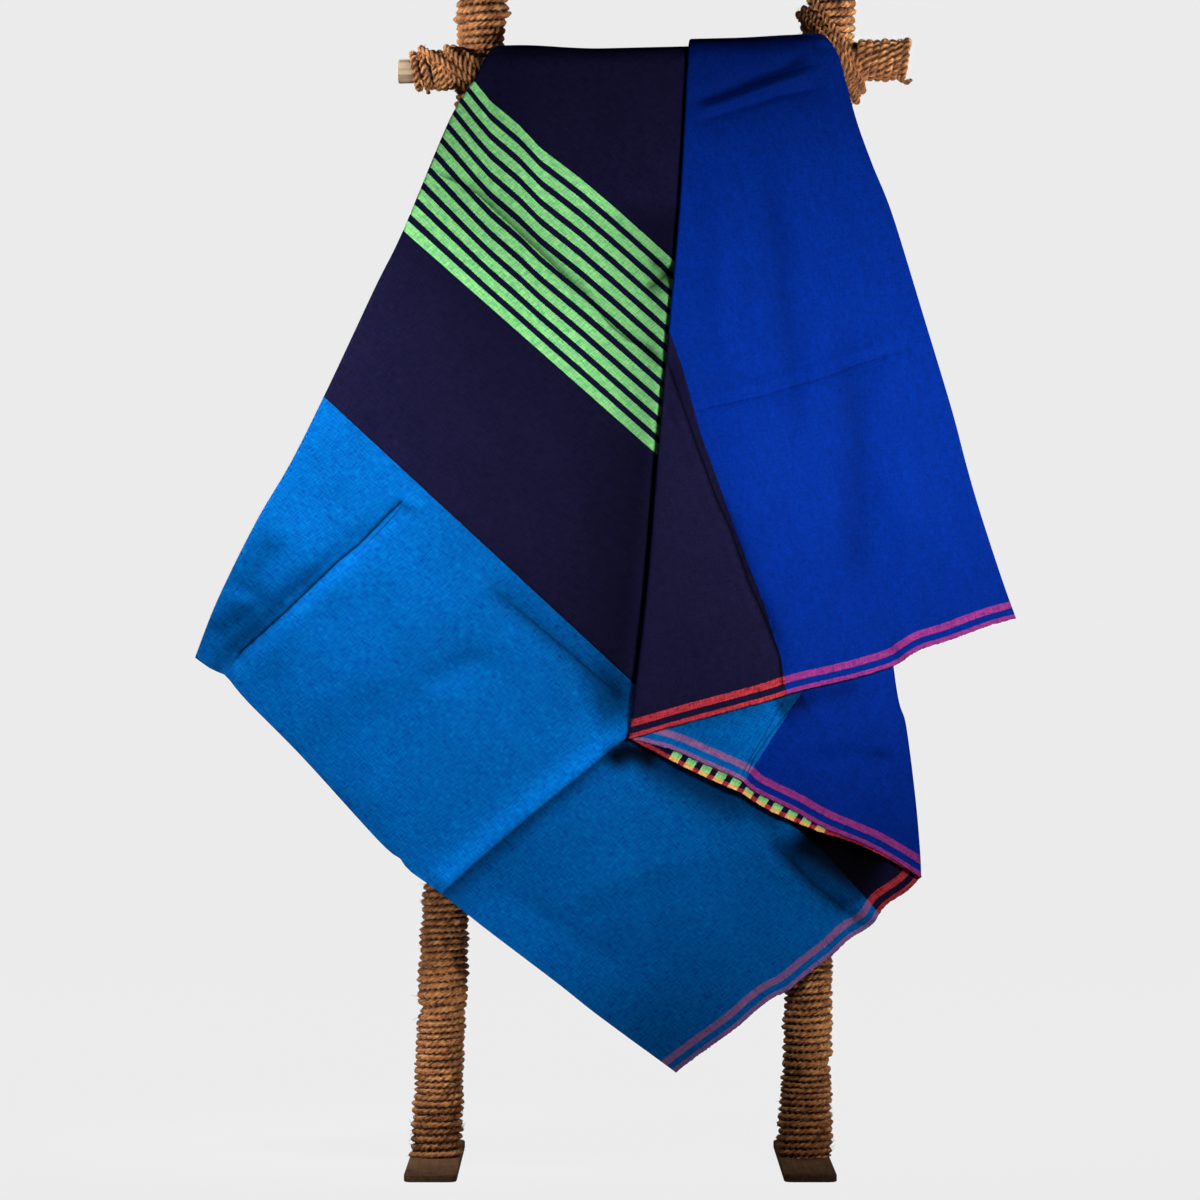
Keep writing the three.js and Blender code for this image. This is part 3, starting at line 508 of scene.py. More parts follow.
LINES = {key: Line(points) for key, points in FRONT_LINES.items()}
LOWER = {
    "flap": [Line(FLAP_LOWER)],
    "panel": [Line(PANEL_FOLD_SIDE), Line(PANEL_HEM_SIDE)],
    "front": [Line(FRONT_HEM)],
    "middle front ply": [Line(MIDDLE_HEM_FRONT_PLY)],
    "middle back ply": [Line(MIDDLE_HEM_BACK_PLY)],
}


def bar_z(x):
    return lerp(BAR["left_z"], BAR["right_z"], (x - BAR["left_x"]) / (BAR["right_x"] - BAR["left_x"]))


def lower_key(layer, ply):
    return f"middle {ply} ply" if layer == "middle" else layer


def lower_point(layer, ply, across):
    lines = LOWER[lower_key(layer, ply)]
    if len(lines) == 1:
        return lines[0].at(across)
    first = lines[0].at(across / CORNER_SHARE)
    second = lines[1].at((across - CORNER_SHARE) / (1 - CORNER_SHARE))
    return np.where((across <= CORNER_SHARE)[..., None], first, second)


def front_place(layer, ply, across, down):
    """Place in the front view between a layer's two fold lines, the bar and its lower outline."""
    left, right = (LINES[key] for key in SIDES[layer])
    part = across[..., None]
    sides = lerp(left.at(down), right.at(down), part)
    straight = lerp(left.at(1.0), right.at(1.0), part)
    return sides + (lower_point(layer, ply, across) - straight) * down[..., None]


def lift(x, place):
    left = LEFT_LIFT[place] * (1 - smooth(LEFT_LIFT["full_x"], LEFT_LIFT["none_x"], x))
    right = RIGHT_LIFT[place] * (1 - smooth(RIGHT_LIFT["full_x"], RIGHT_LIFT["none_x"], x))
    return left + right


def beside(line, x, z):
    """Share of the way along a straight line, and the distance above it."""
    start, end = np.array(line["start"]), np.array(line["end"])
    along = end - start
    length = np.linalg.norm(along)
    share = ((x - start[0]) * along[0] + (z - start[1]) * along[1]) / length ** 2
    above = ((z - start[1]) * along[0] - (x - start[0]) * along[1]) / length
    return share, above


def pressed_crease(x, z):
    share, above = beside(PRESSED_CREASE, x, z)
    comes = smooth(*PRESSED_CREASE["comes"], share)
    rise = PRESSED_CREASE["rise"] * comes * (1 - smooth(*PRESSED_CREASE["rise_goes"], share))
    fall = PRESSED_CREASE["fall"] * comes * (1 - smooth(*PRESSED_CREASE["fall_goes"], share))
    upper = np.clip(1 - above / PRESSED_CREASE["upper"], 0, 1)
    down = np.clip(-above / PRESSED_CREASE["lower"], 0, 1)
    return np.where(above > 0, rise * upper ** 2, rise * (1 - down) - fall * down)


def tuck(x, z):
    share, above = beside(TUCK, x, z)
    near = np.clip(1 - np.abs(above) / np.where(above > 0, TUCK["upper"], TUCK["lower"]), 0, 1)
    return -TUCK["depth"] * near ** 2 * smooth(*TUCK["goes"], 1 - share)


def along_path(path, x, z):
    """Distance from a drawn line, positive above it, and the share of the way along."""
    steps = np.diff(path, axis=0)
    lengths = np.linalg.norm(steps, axis=1)
    starts = lengths_along(path)
    nearest = np.full(x.shape, np.inf)
    signed = np.zeros(x.shape)
    share = np.zeros(x.shape)
    for start, step, length, before in zip(path, steps, lengths, starts):
        off_x, off_z = x - start[0], z - start[1]
        part = np.clip((off_x * step[0] + off_z * step[1]) / length ** 2, 0, 1)
        gap = np.hypot(off_x - part * step[0], off_z - part * step[1])
        side = np.sign(step[0] * off_z - step[1] * off_x)
        closer = gap < nearest
        nearest = np.where(closer, gap, nearest)
        signed = np.where(closer, gap * side, signed)
        share = np.where(closer, (before + part * length) / starts[-1], share)
    return signed, share


def along_lines(lines, x, z):
    """For each line, where its band lies and how strongly each place there takes part in it."""
    for depth, above, below, power, (fade_in, fade_out), path in lines:
        reach = 3 * max(above, below)
        low, high = path.min(0) - reach, path.max(0) + reach
        near = (x > low[0]) & (x < high[0]) & (z > low[1]) & (z < high[1])
        signed, share = along_path(path, x[near], z[near])
        profile = np.exp(-(np.abs(signed) / np.where(signed > 0, above, below)) ** power)
        yield near, depth * profile * smooth(-0.01, fade_in, share) * (1 - smooth(1 - fade_out, 1.01, share))


def fine_creases(layer, x, z):
    total = np.zeros(x.shape)
    for near, depth in along_lines(CREASES[layer], x, z):
        total[near] += depth
    return total


def creased(layer, x, z):
    """A layer's own creases, and how far those of the layers over it press it in."""
    over = LAYERS[LAYERS.index(layer) + 1:]
    return fine_creases(layer, x, z) + sum(np.minimum(fine_creases(other, x, z), 0) for other in over)


def unevenness(x, z):
    """Shallow waves at many lengths, as in cloth that has been folded and handled."""
    rng = np.random.default_rng(11)
    total = np.zeros(x.shape)
    for wave in range(WAVES["count"]):
        length = WAVES["shortest"] * WAVES["growth"] ** wave
        angle, phase = rng.uniform(0, math.pi), rng.uniform(0, 2 * math.pi)
        slant = 2 * math.pi * (x * 0.7 - z) / (length * WAVES["bend_length"])
        along = 2 * math.pi * (x * math.cos(angle) + z * math.sin(angle)) / length
        total += WAVES["height"] * length * np.sin(along + phase + WAVES["bend"] * np.sin(slant + phase * 2))
    return total


def front_depth(layer, rank, x, z):
    below = np.maximum(0, bar_z(x) - z)
    growth = smooth(0, SWAY_GROWTH, below)
    sway = sum(depth * (1 + np.sin(2 * math.pi * (x / in_x + z / in_z) + phase))
               for depth, in_x, in_z, phase in SWAYS)
    depth = FIRST_RADIUS + rank * (LAYER_PITCH + LAYER_SPREAD * below / 1000) + sway * growth
    depth = depth + lift(x, "front") * smooth(*LIFT_FADE, z)
    depth = depth + unevenness(x, z) * growth
    if layer == "panel":
        depth = depth + pressed_crease(x, z) + tuck(x, z)
    return depth + creased(layer, x, z)


def front_points(layer, ply, rank, across, down):
    place = front_place(layer, ply, across, down)
    x, z = place[..., 0], place[..., 1]
    return np.stack([x, -front_depth(layer, rank, x, z), z], -1)


def bar_points(layer, ply, rank, across, turn):
    """Over the bar: turn runs from 0 at the front, through 0.5 on top, to 1 at the back."""
    def line_x(key):
        front_x = LINES[key].at(0.0)[0]
        line = BACK_LINES[key]
        return np.where(turn < 0.5, lerp(front_x, line["top_x"], turn * 2),
                        lerp(line["top_x"], line["back_x"], turn * 2 - 1))
    left, right = SIDES[layer]
    x = lerp(line_x(left), line_x(right), across)
    raised = np.where(turn < 0.5, lerp(lift(x, "front"), lift(x, "top"), turn * 2),
                      lerp(lift(x, "top"), lift(x, "back"), turn * 2 - 1))
    radius = FIRST_RADIUS + rank * LAYER_PITCH + raised
    if layer == "front":
        level = bar_z(x)
        radius = radius + fine_creases(layer, x, level + radius * np.sin(math.pi * turn)) * (1 - turn)
    return np.stack([x, -radius * np.cos(math.pi * turn), bar_z(x) + radius * np.sin(math.pi * turn)], -1)


def back_drop(layer, across, down):
    """Where a place at the back starts on the bar, where it lies, and how far it is down."""
    left, right = (BACK_LINES[key] for key in SIDES[layer])
    start_x = lerp(left["back_x"], right["back_x"], across)
    x = lerp(start_x, lerp(left["hem_x"], right["hem_x"], across), down)
    waves = sum(depth * np.exp(-((x - middle) / half) ** 2) for middle, depth, half in BACK_HEM_WAVES)
    return start_x, x, down * (lerp(left["drop"], right["drop"], across) + waves * down)


def back_points(layer, ply, rank, across, down):
    start_x, x, drop = back_drop(layer, across, down)
    y = FIRST_RADIUS + rank * (LAYER_PITCH + LAYER_SPREAD * drop / 1000) + lift(x, "back") * (1 - down)
    z = bar_z(start_x) - drop
    ripple = BACK_RIPPLE["depth"] * np.sin(x / BACK_RIPPLE["length"] + 1) * down
    return np.stack([x, y + (unevenness(x, z) + ripple) * smooth(0, 0.5, down), z], -1)


def cloth_columns():
    """Columns along the folded section: layer, rank, share across, way in from a side, side, how flat."""
    columns = []
    for index, layer in enumerate(LAYERS):
        forward = index % 2 == 1
        last = index == len(LAYERS) - 1
        first = 0 if index == 0 else 1
        for step in range(first, STRIPS[layer]):
            share = step / STRIPS[layer]
            columns.append((index, index, share if forward else 1 - share, 0.0, 0, 1.0))
        if last:
            columns += [(index, index, 1.0, PLY_OFFSET * (1 - math.sin(angle)), 1, math.cos(angle))
                        for angle in ROLL_ANGLES]
            break
        side = 1 if forward else 0
        for angle in TURN_ANGLES:
            owner = index if angle < math.pi / 2 else index + 1
            rank = index + (1 - math.cos(angle)) / 2
            columns.append((owner, rank, side, LAYER_PITCH / 2 * (1 - math.sin(angle)), side, 1.0))
    return np.array(columns).T


def cloth_rows():
    """Rows from the hem up, over the bar and down the back: part of the way, and where in it."""
    near_edge = [("front", 1 - share) for share in EDGE_ROWS]
    front = [("front", (1 - step / FRONT_ROWS) ** FRONT_ROW_EASE) for step in range(1, FRONT_ROWS)]
    bar = [("bar", step / BAR_ROWS) for step in range(BAR_ROWS + 1)]
    back = [("back", step / BACK_ROWS) for step in range(1, BACK_ROWS + 1)]
    return near_edge + front + bar + back


PARTS = {"front": front_points, "bar": bar_points, "back": back_points}


def middle_grid(ply):
    """The cloth's middle surface as rows by columns of points, and each point's share across its layer."""
    owner, rank, base_across, inset, side, _ = cloth_columns()
    rows = cloth_rows()
    grid = np.zeros((len(rows), len(owner), 3))
    across = np.tile(base_across, (len(rows), 1))
    for part, points in PARTS.items():
        chosen = [number for number, row in enumerate(rows) if row[0] == part]
        where = np.array([rows[number][1] for number in chosen])[:, None]
        for index, layer in enumerate(LAYERS):
            columns = np.nonzero(owner == index)[0]
            places = np.repeat(where, len(columns), 1)
            ends = [points(layer, ply, index, np.full(where.shape, float(end)), where) for end in (0, 1)]
            span = np.linalg.norm(ends[1] - ends[0], axis=-1)
            share = inset[columns] / span
            shifted = np.where(side[columns] == 0, share, 1 - share)
            part_across = np.where(inset[columns] > 0, shifted, base_across[columns])
            block = np.ix_(chosen, columns)
            across[block] = part_across
            grid[block] = points(layer, ply, rank[columns], part_across, places)
    return grid, across


def grid_normals(grid):
    along_columns = np.gradient(grid, axis=1)
    along_rows = np.gradient(grid, axis=0)
    return unit(np.cross(along_columns, along_rows))


def closed_columns():
    """How far each column ends below in one of the tube's own folds, not in an open hem."""
    owner, _, across, _, _, _ = cloth_columns()
    in_fold = 1 - smooth(CORNER_SHARE - CORNER_BLEND, CORNER_SHARE, across)
    return np.where(owner == 0, 1.0, np.where(owner == 1, in_fold, 0.0))


def line_height(path, x):
    """Height of a drawn line at x, running straight on past its ends."""
    inside = np.interp(x, path[:, 0], path[:, 1])
    first = (path[1, 1] - path[0, 1]) / (path[1, 0] - path[0, 0])
    last = (path[-1, 1] - path[-2, 1]) / (path[-1, 0] - path[-2, 0])
    return np.where(x < path[0, 0], path[0, 1] + (x - path[0, 0]) * first,
                    np.where(x > path[-1, 0], path[-1, 1] + (x - path[-1, 0]) * last, inside))


def line_reach(path, z):
    """x of a drawn line at a height, running straight on past its ends."""
    return line_height(path[::-1, ::-1], z) if path[0, 1] > path[-1, 1] else line_height(path[:, ::-1], z)


def panel_round(x, z):
    """Distance round the tube, by the pattern's lines above and below a place on the big panel."""
    heights = [line_height(path, x) for _, path in PANEL_PATTERN]
    values = [value for value, _ in PANEL_PATTERN]
    shares = [(upper - z) / (upper - lower) for upper, lower in zip(heights, heights[1:])]
    around = [lerp(*ends, share) for *ends, share in zip(values, values[1:], shares)]
    return np.where(z > heights[1], around[0], np.where(z > heights[2], around[1], around[2]))


def front_round(x, z):
    edge = line_reach(np.array(FRONT_LINES["right"]), z)
    join = line_reach(JOIN, z)
    return np.where(x > join, JOIN_AT * (edge - x) / (edge - join), JOIN_AT + PAST_JOIN_RATE * (join - x))


def mirrored(x, z, start, end):
    along = unit(end - start)
    off = np.stack([x, z], -1) - start
    part = off @ along
    flipped = start + 2 * part[..., None] * along - off
    return flipped[..., 0], flipped[..., 1]


def unrolled(grid, rows):
    """x and z of points if the cloth ran straight up from the bar, for the pattern to run on over it."""
    x, z = grid[..., 0].copy(), grid[..., 2].copy()
    for number, (part, where) in enumerate(rows):
        level = bar_z(x[number])
        if part == "bar":
            z[number] = level + where * math.pi * FIRST_RADIUS
        elif part == "back":
            z[number] = level + math.pi * FIRST_RADIUS + np.maximum(0, level - grid[number, :, 2])
    return x, z


def pattern_places(grid, across, ply):
    """Per point: distance round the tube, distance up from the hem, and distance in from the nearest edge."""
    owner = cloth_columns()[0]
    rows = cloth_rows()
    x, z = unrolled(grid, rows)
    is_front = np.array([part == "front" for part, _ in rows])[:, None]
    around, up = np.zeros(x.shape), np.zeros(x.shape)
    edge = np.full(x.shape, FAR_FROM_HEM)
    for index, layer in enumerate(LAYERS):
        columns = owner == index
        own_x, own_z, share = x[:, columns], z[:, columns], across[:, columns]
        if layer == "flap":
            around[:, columns] = panel_round(*mirrored(own_x, own_z, *FLAP_FOLD))
        elif layer == "panel":
            around[:, columns] = panel_round(own_x, own_z)
        elif layer == "front":
            around[:, columns] = np.where(is_front, front_round(own_x, own_z), BAR_INNER_AT * (1 - share))
        else:
            around[:, columns] = middle_round(own_x, own_z, share, is_front)
        hem = LOWER[lower_key(layer, ply)][-1].points
        chord = unit(hem[-1] - hem[0])
        up[:, columns] = (own_z - hem[0][1]) * chord[0] - (own_x - hem[0][0]) * chord[1]
        if layer == "flap":
            edge[:, columns] = line_reach(np.array(FRONT_LINES["hidden"]), own_z) - own_x
        else:
            signed, _ = along_path(hem[::HEM_STEP], own_x, own_z)
            edge[:, columns] = np.abs(signed)
    back = np.array([part == "back" for part, _ in rows])
    lowest = grid[-1:, :, 2]
    from_back_hem = np.where(back[:, None], grid[..., 2] - lowest, FAR_FROM_HEM)
    return around, up, np.minimum(edge, from_back_hem)


def face_places(grid):
    """Per point: where it lies in the front view, with each layer's map set apart and all else far off."""
    owner = cloth_columns()[0]
    x = grid[..., 0] + LAYER_APART * owner[None, :]
    in_view = np.array([part == "front" or (part == "bar" and where < 0.5) for part, where in cloth_rows()])
    z = np.where(in_view[:, None], grid[..., 2], grid[..., 2] + 2 * LAYER_APART)
    return np.stack([x, z], -1)


def soft_light(face, ply):
    """The light left at each place of the face by the shade painted into its colour, or more where a painted
    highlight lies.
    """
    light = np.ones(face.shape[:-1])
    for index, layer in enumerate(LAYERS):
        own_x = face[..., 0] - LAYER_APART * index
        lines = PAINTED_SHADES[layer] + PAINTED_SHADES.get(f"{ply} ply of {layer}", [])
        for near, depth in along_lines(lines, own_x, face[..., 1]):
            light[near] *= 1 - depth
    return light


def middle_round(x, z, across, is_front):
    """On the middle layer the pattern lies at a slant near the hem, and joins its neighbours' higher up."""
    start_x, start_z = MIDDLE_PATTERN["place"]
    at_hem = (MIDDLE_PATTERN["at"] + MIDDLE_PATTERN["per_right"] * (x - start_x)
              + MIDDLE_PATTERN["per_down"] * (start_z - z))
    inner, outer = LINES["inner"].points, LINES["outer"].points
    inner_x = np.interp(z, inner[::-1, 1], inner[::-1, 0])
    outer_x = np.interp(z, outer[::-1, 1], outer[::-1, 0])
    from_front = np.where(is_front, front_round(inner_x, z), BAR_INNER_AT)
    from_sides = lerp(from_front, panel_round(outer_x, z), across)
    return lerp(at_hem, from_sides, smooth(*MIDDLE_PATTERN["joins_sides"], z))


def to_frame(points):
    """Rack millimetres to metres in the shared frame."""
    low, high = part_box("crossbar")
    middle = [(low[axis] + high[axis]) / 2 for axis in range(2)]
    shift = np.array([middle[0] - (BAR["left_x"] + BAR["right_x"]) / 2 * MM, middle[1], 0.0])
    return np.asarray(points, float) * MM + shift


def new_piece(name, points, faces, material, uvs=None, smooth_shaded=True):
    """A mesh object from points in rack millimetres and arrays of faces; it rides on the rack."""
    mesh = bpy.data.meshes.new(name)
    blocks = [np.asarray(block, dtype=np.int32) for block in faces if len(block)]
    corners = np.concatenate([block.ravel() for block in blocks])
    sizes = np.concatenate([np.full(len(block), block.shape[1]) for block in blocks])
    mesh.vertices.add(len(points))
    mesh.vertices.foreach_set("co", to_frame(points).ravel())
    mesh.loops.add(len(corners))
    mesh.loops.foreach_set("vertex_index", corners)
    mesh.polygons.add(len(sizes))
    mesh.polygons.foreach_set("loop_start", np.concatenate([[0], np.cumsum(sizes)[:-1]]).astype(np.int32))
    mesh.polygons.foreach_set("use_smooth", np.full(len(sizes), smooth_shaded))
    for key, places in (uvs or {}).items():
        layer = mesh.uv_layers.new(name=key)
        layer.data.foreach_set("uv", np.asarray(places, float)[corners].ravel())
    mesh.update(calc_edges=True)
    mesh.validate()
    piece = bpy.data.objects.new(name, mesh)
    bpy.context.scene.collection.objects.link(piece)
    mesh.materials.append(material)
    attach(piece, "root")
    return piece


def grid_faces(rows, columns, start=0, wrap=False):
    """Quads of a grid of points stored row by row."""
    row = np.arange(rows - 1)[:, None]
    column = np.arange(columns if wrap else columns - 1)[None, :]
    after = (column + 1) % columns
    corners = [row * columns + column, row * columns + after, (row + 1) * columns + after,
               (row + 1) * columns + column]
    return np.stack(corners, -1).reshape(-1, 4) + start


def carried_frames(path):
    """Two directions across a path at each point, carried along it without twisting."""
    along = unit(np.gradient(path, axis=0))
    guess = np.array([0.0, 0.0, 1.0]) if abs(along[0][2]) < 0.9 else np.array([1.0, 0.0, 0.0])
    across = np.zeros(path.shape)
    for number, direction in enumerate(along):
        guess = unit(guess - direction * (guess @ direction))
        across[number] = guess
    return across, np.cross(along, across)


def tube(path, radii, sides):
    """Rings of points round a path, for one radius or an array of them (points by sides)."""
    across, over = carried_frames(path)
    angles = round_angles(sides)
    radii = np.broadcast_to(np.asarray(radii, float).reshape(-1, 1) if np.ndim(radii) < 2 else radii,
                            (len(path), sides))
    return (path[:, None, :] + radii[..., None] * (across[:, None, :] * np.cos(angles)[None, :, None]
                                                  + over[:, None, :] * np.sin(angles)[None, :, None]))


class Bundle:
    """Many small closed meshes joined into one piece."""

    def __init__(self):
        self.points, self.quads, self.caps, self.places = [], [], [], []
        self.count = 0

    def add(self, points, quads, caps, places):
        self.points.append(points)
        self.quads.append(np.asarray(quads) + self.count)
        self.caps.append(np.asarray(caps) + self.count)
        self.places.append(places)
        self.count += len(points)

    def add_rings(self, rings, places=None):
        """Rings of points joined into a closed body with fanned ends."""
        rows, sides = rings.shape[:2]
        centres = np.stack([rings[0].mean(0), rings[-1].mean(0)])
        points = np.concatenate([rings.reshape(-1, 3), centres])
        ring = np.arange(sides)
        after = (ring + 1) % sides
        last = (rows - 1) * sides
        first_cap = np.stack([after, ring, np.full(sides, rows * sides)], 1)
        last_cap = np.stack([last + ring, last + after, np.full(sides, rows * sides + 1)], 1)
        if places is None:
            places = np.ones((rows, sides, 3))
        flat = places.reshape(-1, 3)
        flat = np.concatenate([flat, flat[[0, -1]]])
        self.add(points, grid_faces(rows, sides, wrap=True), np.concatenate([first_cap, last_cap]), flat)

    def piece(self, name, material, smooth_shaded=True):
        places = np.concatenate(self.places)
        return new_piece(name, np.concatenate(self.points),
                         [np.concatenate(self.quads), np.concatenate(self.caps)], material,
                         {"rope": places[:, :2], "relief": places[:, [2, 2]]}, smooth_shaded)


OBJECT_PLACE = 3                       # output of the coordinate node that gives an object's own places


class Graph:
    """A material's nodes, each made in one call from numbers, colours and other nodes' outputs."""

    def __init__(self, name):
        self.material = bpy.data.materials.new(name)
        self.material.use_nodes = True
        self.tree = self.material.node_tree
        self.tree.nodes.clear()

    def add(self, kind, inputs=(), output=0, **settings):
        node = self.tree.nodes.new(kind)
        for key, value in settings.items():
            setattr(node, key, value)
        for key, value in dict(inputs).items():
            if isinstance(value, bpy.types.NodeSocket):
                self.tree.links.new(value, node.inputs[key])
            else:
                node.inputs[key].default_value = value
        return node.outputs[output]

    def math(self, operation, *values, clamp=False):
        return self.add("ShaderNodeMath", enumerate(values), operation=operation, use_clamp=clamp)

    def mix(self, share, first, second, blend="MIX"):
        return self.add("ShaderNodeMix", {0: share, 6: first, 7: second}, 2, data_type="RGBA",
                        blend_type=blend)

    def combine(self, x, y, z=0.0):
        return self.add("ShaderNodeCombineXYZ", {0: x, 1: y, 2: z})

    def noise(self, vector, scale=1.0, detail=3.0, roughness=0.55):
        return self.add("ShaderNodeTexNoise",
                        {"Vector": vector, "Scale": scale, "Detail": detail, "Roughness": roughness})

    def ramp(self, value, stops, stepped=False):
        color = self.add("ShaderNodeValToRGB", {0: value})
        ramp = color.node.color_ramp
        ramp.interpolation = "CONSTANT" if stepped else "LINEAR"
        while len(ramp.elements) < len(stops):
            ramp.elements.new(0.5)
        for element, (place, _) in zip(ramp.elements, stops):
            element.position = place
        for element, (place, shade) in zip(ramp.elements, stops):
            element.color = shade
        return color

    def uv(self, name):
        """The two numbers of one of the mesh's maps."""
        split = self.add("ShaderNodeSeparateXYZ", {0: self.add("ShaderNodeUVMap", uv_map=name)}).node
        return split.outputs[0], split.outputs[1]

    def scaled(self, places, rates):
        """A vector of numbers, each times its rate."""
        return self.combine(*(self.math("MULTIPLY", place, rate) for place, rate in zip(places, rates)))

    def weighted(self, *parts):
        """The sum of values, each times its weight."""
        total = 0.0
        for value, weight in parts:
            total = self.math("MULTIPLY_ADD", value, weight, total)
        return total

    def swing(self, value, scale, middle, clamp=False):
        """How far a value is from a half, scaled, and set about a new middle."""
        return self.math("MULTIPLY_ADD", self.math("SUBTRACT", value, 0.5), scale, middle, clamp=clamp)

    def bump(self, height, strength, distance):
        return self.add("ShaderNodeBump", {"Height": height, "Strength": strength, "Distance": distance})

    def finish(self, color, roughness, normal, **shader):
        inputs = {"Base Color": color, "Roughness": roughness, "Normal": normal}
        inputs.update({key.replace("_", " "): value for key, value in shader.items()})
        surface = self.add("ShaderNodeBsdfPrincipled", inputs)
        self.add_output(surface)
        return self.material

    def add_output(self, surface):
        output = self.tree.nodes.new("ShaderNodeOutputMaterial")
        self.tree.links.new(surface, output.inputs["Surface"])


def field_slot(graph, place, fields):
    """The number of the field at a place round the tube, in millimetres. Green stripes have their own."""
    slot = 0.5
    for start, _ in fields[1:]:
        slot = graph.math("ADD", slot, graph.math("GREATER_THAN", place, float(start)))
    if fields is BACK_PLY_FIELDS:
        return slot
    start, pitch = GREEN_STRIPES["start"], GREEN_STRIPES["pitch"]
    from_start = graph.math("SUBTRACT", place, start)
    in_stripe = graph.math("LESS_THAN", graph.math("MODULO", from_start, pitch), GREEN_STRIPES["width"])
    in_band = graph.math("SUBTRACT", graph.math("GREATER_THAN", place, start),
                         graph.math("GREATER_THAN", place, start + pitch * GREEN_STRIPES["count"]))
    return graph.math("MULTIPLY_ADD", graph.math("MULTIPLY", in_stripe, in_band), float(len(fields)), slot)


def field_color(graph, slot, fields, colours, thread):
    keys = [key for _, key in fields] + ["green"] * len(fields)
    stops = [(number / FIELD_SLOTS, colours[key][thread]) for number, key in enumerate(keys)]
    return graph.ramp(graph.math("MULTIPLY", slot, 1 / FIELD_SLOTS), stops, True)


def grey_stops(stops):
    return [(place, (value, value, value, 1.0)) for place, value in stops]


def painted_line_darkness(graph, face, line, so_far):
    """Adds how dark one painted line is to the darkness of those before it, or takes off its painted
    highlight.
    """
    layer, strength, above, below, (fade_in, fade_out), path = line
    path = (path + np.array([LAYER_APART * LAYERS.index(layer), 0.0])) * MM
    reach = path[-1] - path[0]
    length = np.linalg.norm(reach)
    along = reach / length
    aside = np.array([-along[1], along[0]])
    shares = (path - path[0]) @ along / length
    bends = (path - path[0]) @ aside
    largest = max(np.abs(bends).max(), 0.0005)
    widest = max(above, below) * MM

    def across_face(direction, offset):
        """A linear measure over the face: its rate in x and z, and its value at the line's start."""
        constant = offset - direction @ path[0]
        return graph.add("ShaderNodeVectorMath", {0: face, 1: (direction[0], direction[1], constant)}, 1,
                         operation="DOT_PRODUCT")

    share = across_face(along / length, 0.0)
    bend = graph.ramp(share, grey_stops(zip(shares, bends / largest / 2 + 0.5)))
    straight = across_face(aside * 0.5 / widest, 0.5 + largest * 0.5 / widest)
    signed = graph.math("MULTIPLY_ADD", bend, -largest / widest, straight)
    high, low = above * MM / widest / 2, below * MM / widest / 2
    profile = graph.ramp(signed, grey_stops([(0.5 - low, 0), (0.5 - low / 2, 0.35), (0.5, 1),
                                             (0.5 + high / 2, 0.35), (0.5 + high * 0.99, 0)]))
    full = abs(strength)
    fade = graph.ramp(share, grey_stops([(0, 0), (fade_in, full), (1 - fade_out, full), (1, 0)]))
    return graph.math("ADD" if strength > 0 else "SUBTRACT", so_far, graph.math("MULTIPLY", profile, fade))


def painted_lines_darkness(graph, ply):
    """How dark a ply's painted lines are, less their painted highlight: 0 in the open."""
    face = graph.combine(*graph.uv("face"), 1.0)
    dark = 0.0
    for line in PAINTED_LINES[ply]:
        dark = painted_line_darkness(graph, face, line, dark)
    return dark


def cloth_material(name, fields, ply):
    graph = Graph(name)
    around, up = graph.uv("weave")
    # The edge map holds the distance from the hem and the light left by the painted soft shade.
    from_hem, light = graph.uv("edge")
    threads = {key: graph.noise(graph.scaled((around, up), rates), detail=detail)
               for key, (*rates, detail) in THREADS.items()}
    place = graph.math("MULTIPLY", graph.swing(threads["field wander"], FIELD_WANDER, around), 1000.0)
    slot = field_slot(graph, place, fields)
    fibres = graph.weighted((threads["warp"], 0.5), (threads["weft"], 0.5))
    slubs = graph.weighted((threads["slubs"], 0.5), (threads["cross slubs"], 0.5))
    share = graph.swing(graph.weighted((fibres, 0.8), (slubs, 0.2)), THREAD_CONTRAST, 0.5, clamp=True)

    def woven(colours):
        return graph.mix(share, *(field_color(graph, slot, fields, colours, thread) for thread in (0, 1)))

    inward = graph.swing(threads["hem wander"], HEM_WANDER, from_hem)
    stripes = grey_stops((start / BORDER_SPAN, value) for start, value in BORDER_STRIPES)
    on_border = graph.ramp(graph.math("MULTIPLY", inward, 1000 / BORDER_SPAN), stripes, True)
    color = graph.mix(on_border, woven(FIELDS), woven(BORDERS))
    worn = graph.swing(graph.weighted((threads["patches"], 0.5), (threads["bands"], 0.5)), 0.5, 1.0)
    # Painted shade along the creases, and a painted highlight beside one, darken or lighten the colour here.
    light_left_by_painted_lines = graph.math("SUBTRACT", 1.0, painted_lines_darkness(graph, ply))
    light_left_by_painted_lines = graph.math("MAXIMUM", light_left_by_painted_lines, DARKEST_PAINTED_LINE)
    # From here worn carries painted shade and highlight, from the painted lines and the soft shade, over the
    # cloth's own random tone.
    worn = graph.math("MULTIPLY", worn, graph.math("MULTIPLY", light_left_by_painted_lines, light))
    color = graph.mix(1.0, color, graph.combine(worn, worn, worn), "MULTIPLY")
    relief = graph.weighted((threads["fine warp"], 0.6), (threads["fine weft"], 0.6), (slubs, 0.8))
    roughness = graph.math("MULTIPLY_ADD", fibres, 0.16, 0.66)
    return graph.finish(color, roughness, graph.bump(relief, 0.35, 0.0005), Sheen_Weight=0.1,
                        Sheen_Roughness=0.35, Sheen_Tint=CLOTH_SHEEN, Specular_IOR_Level=0.02)


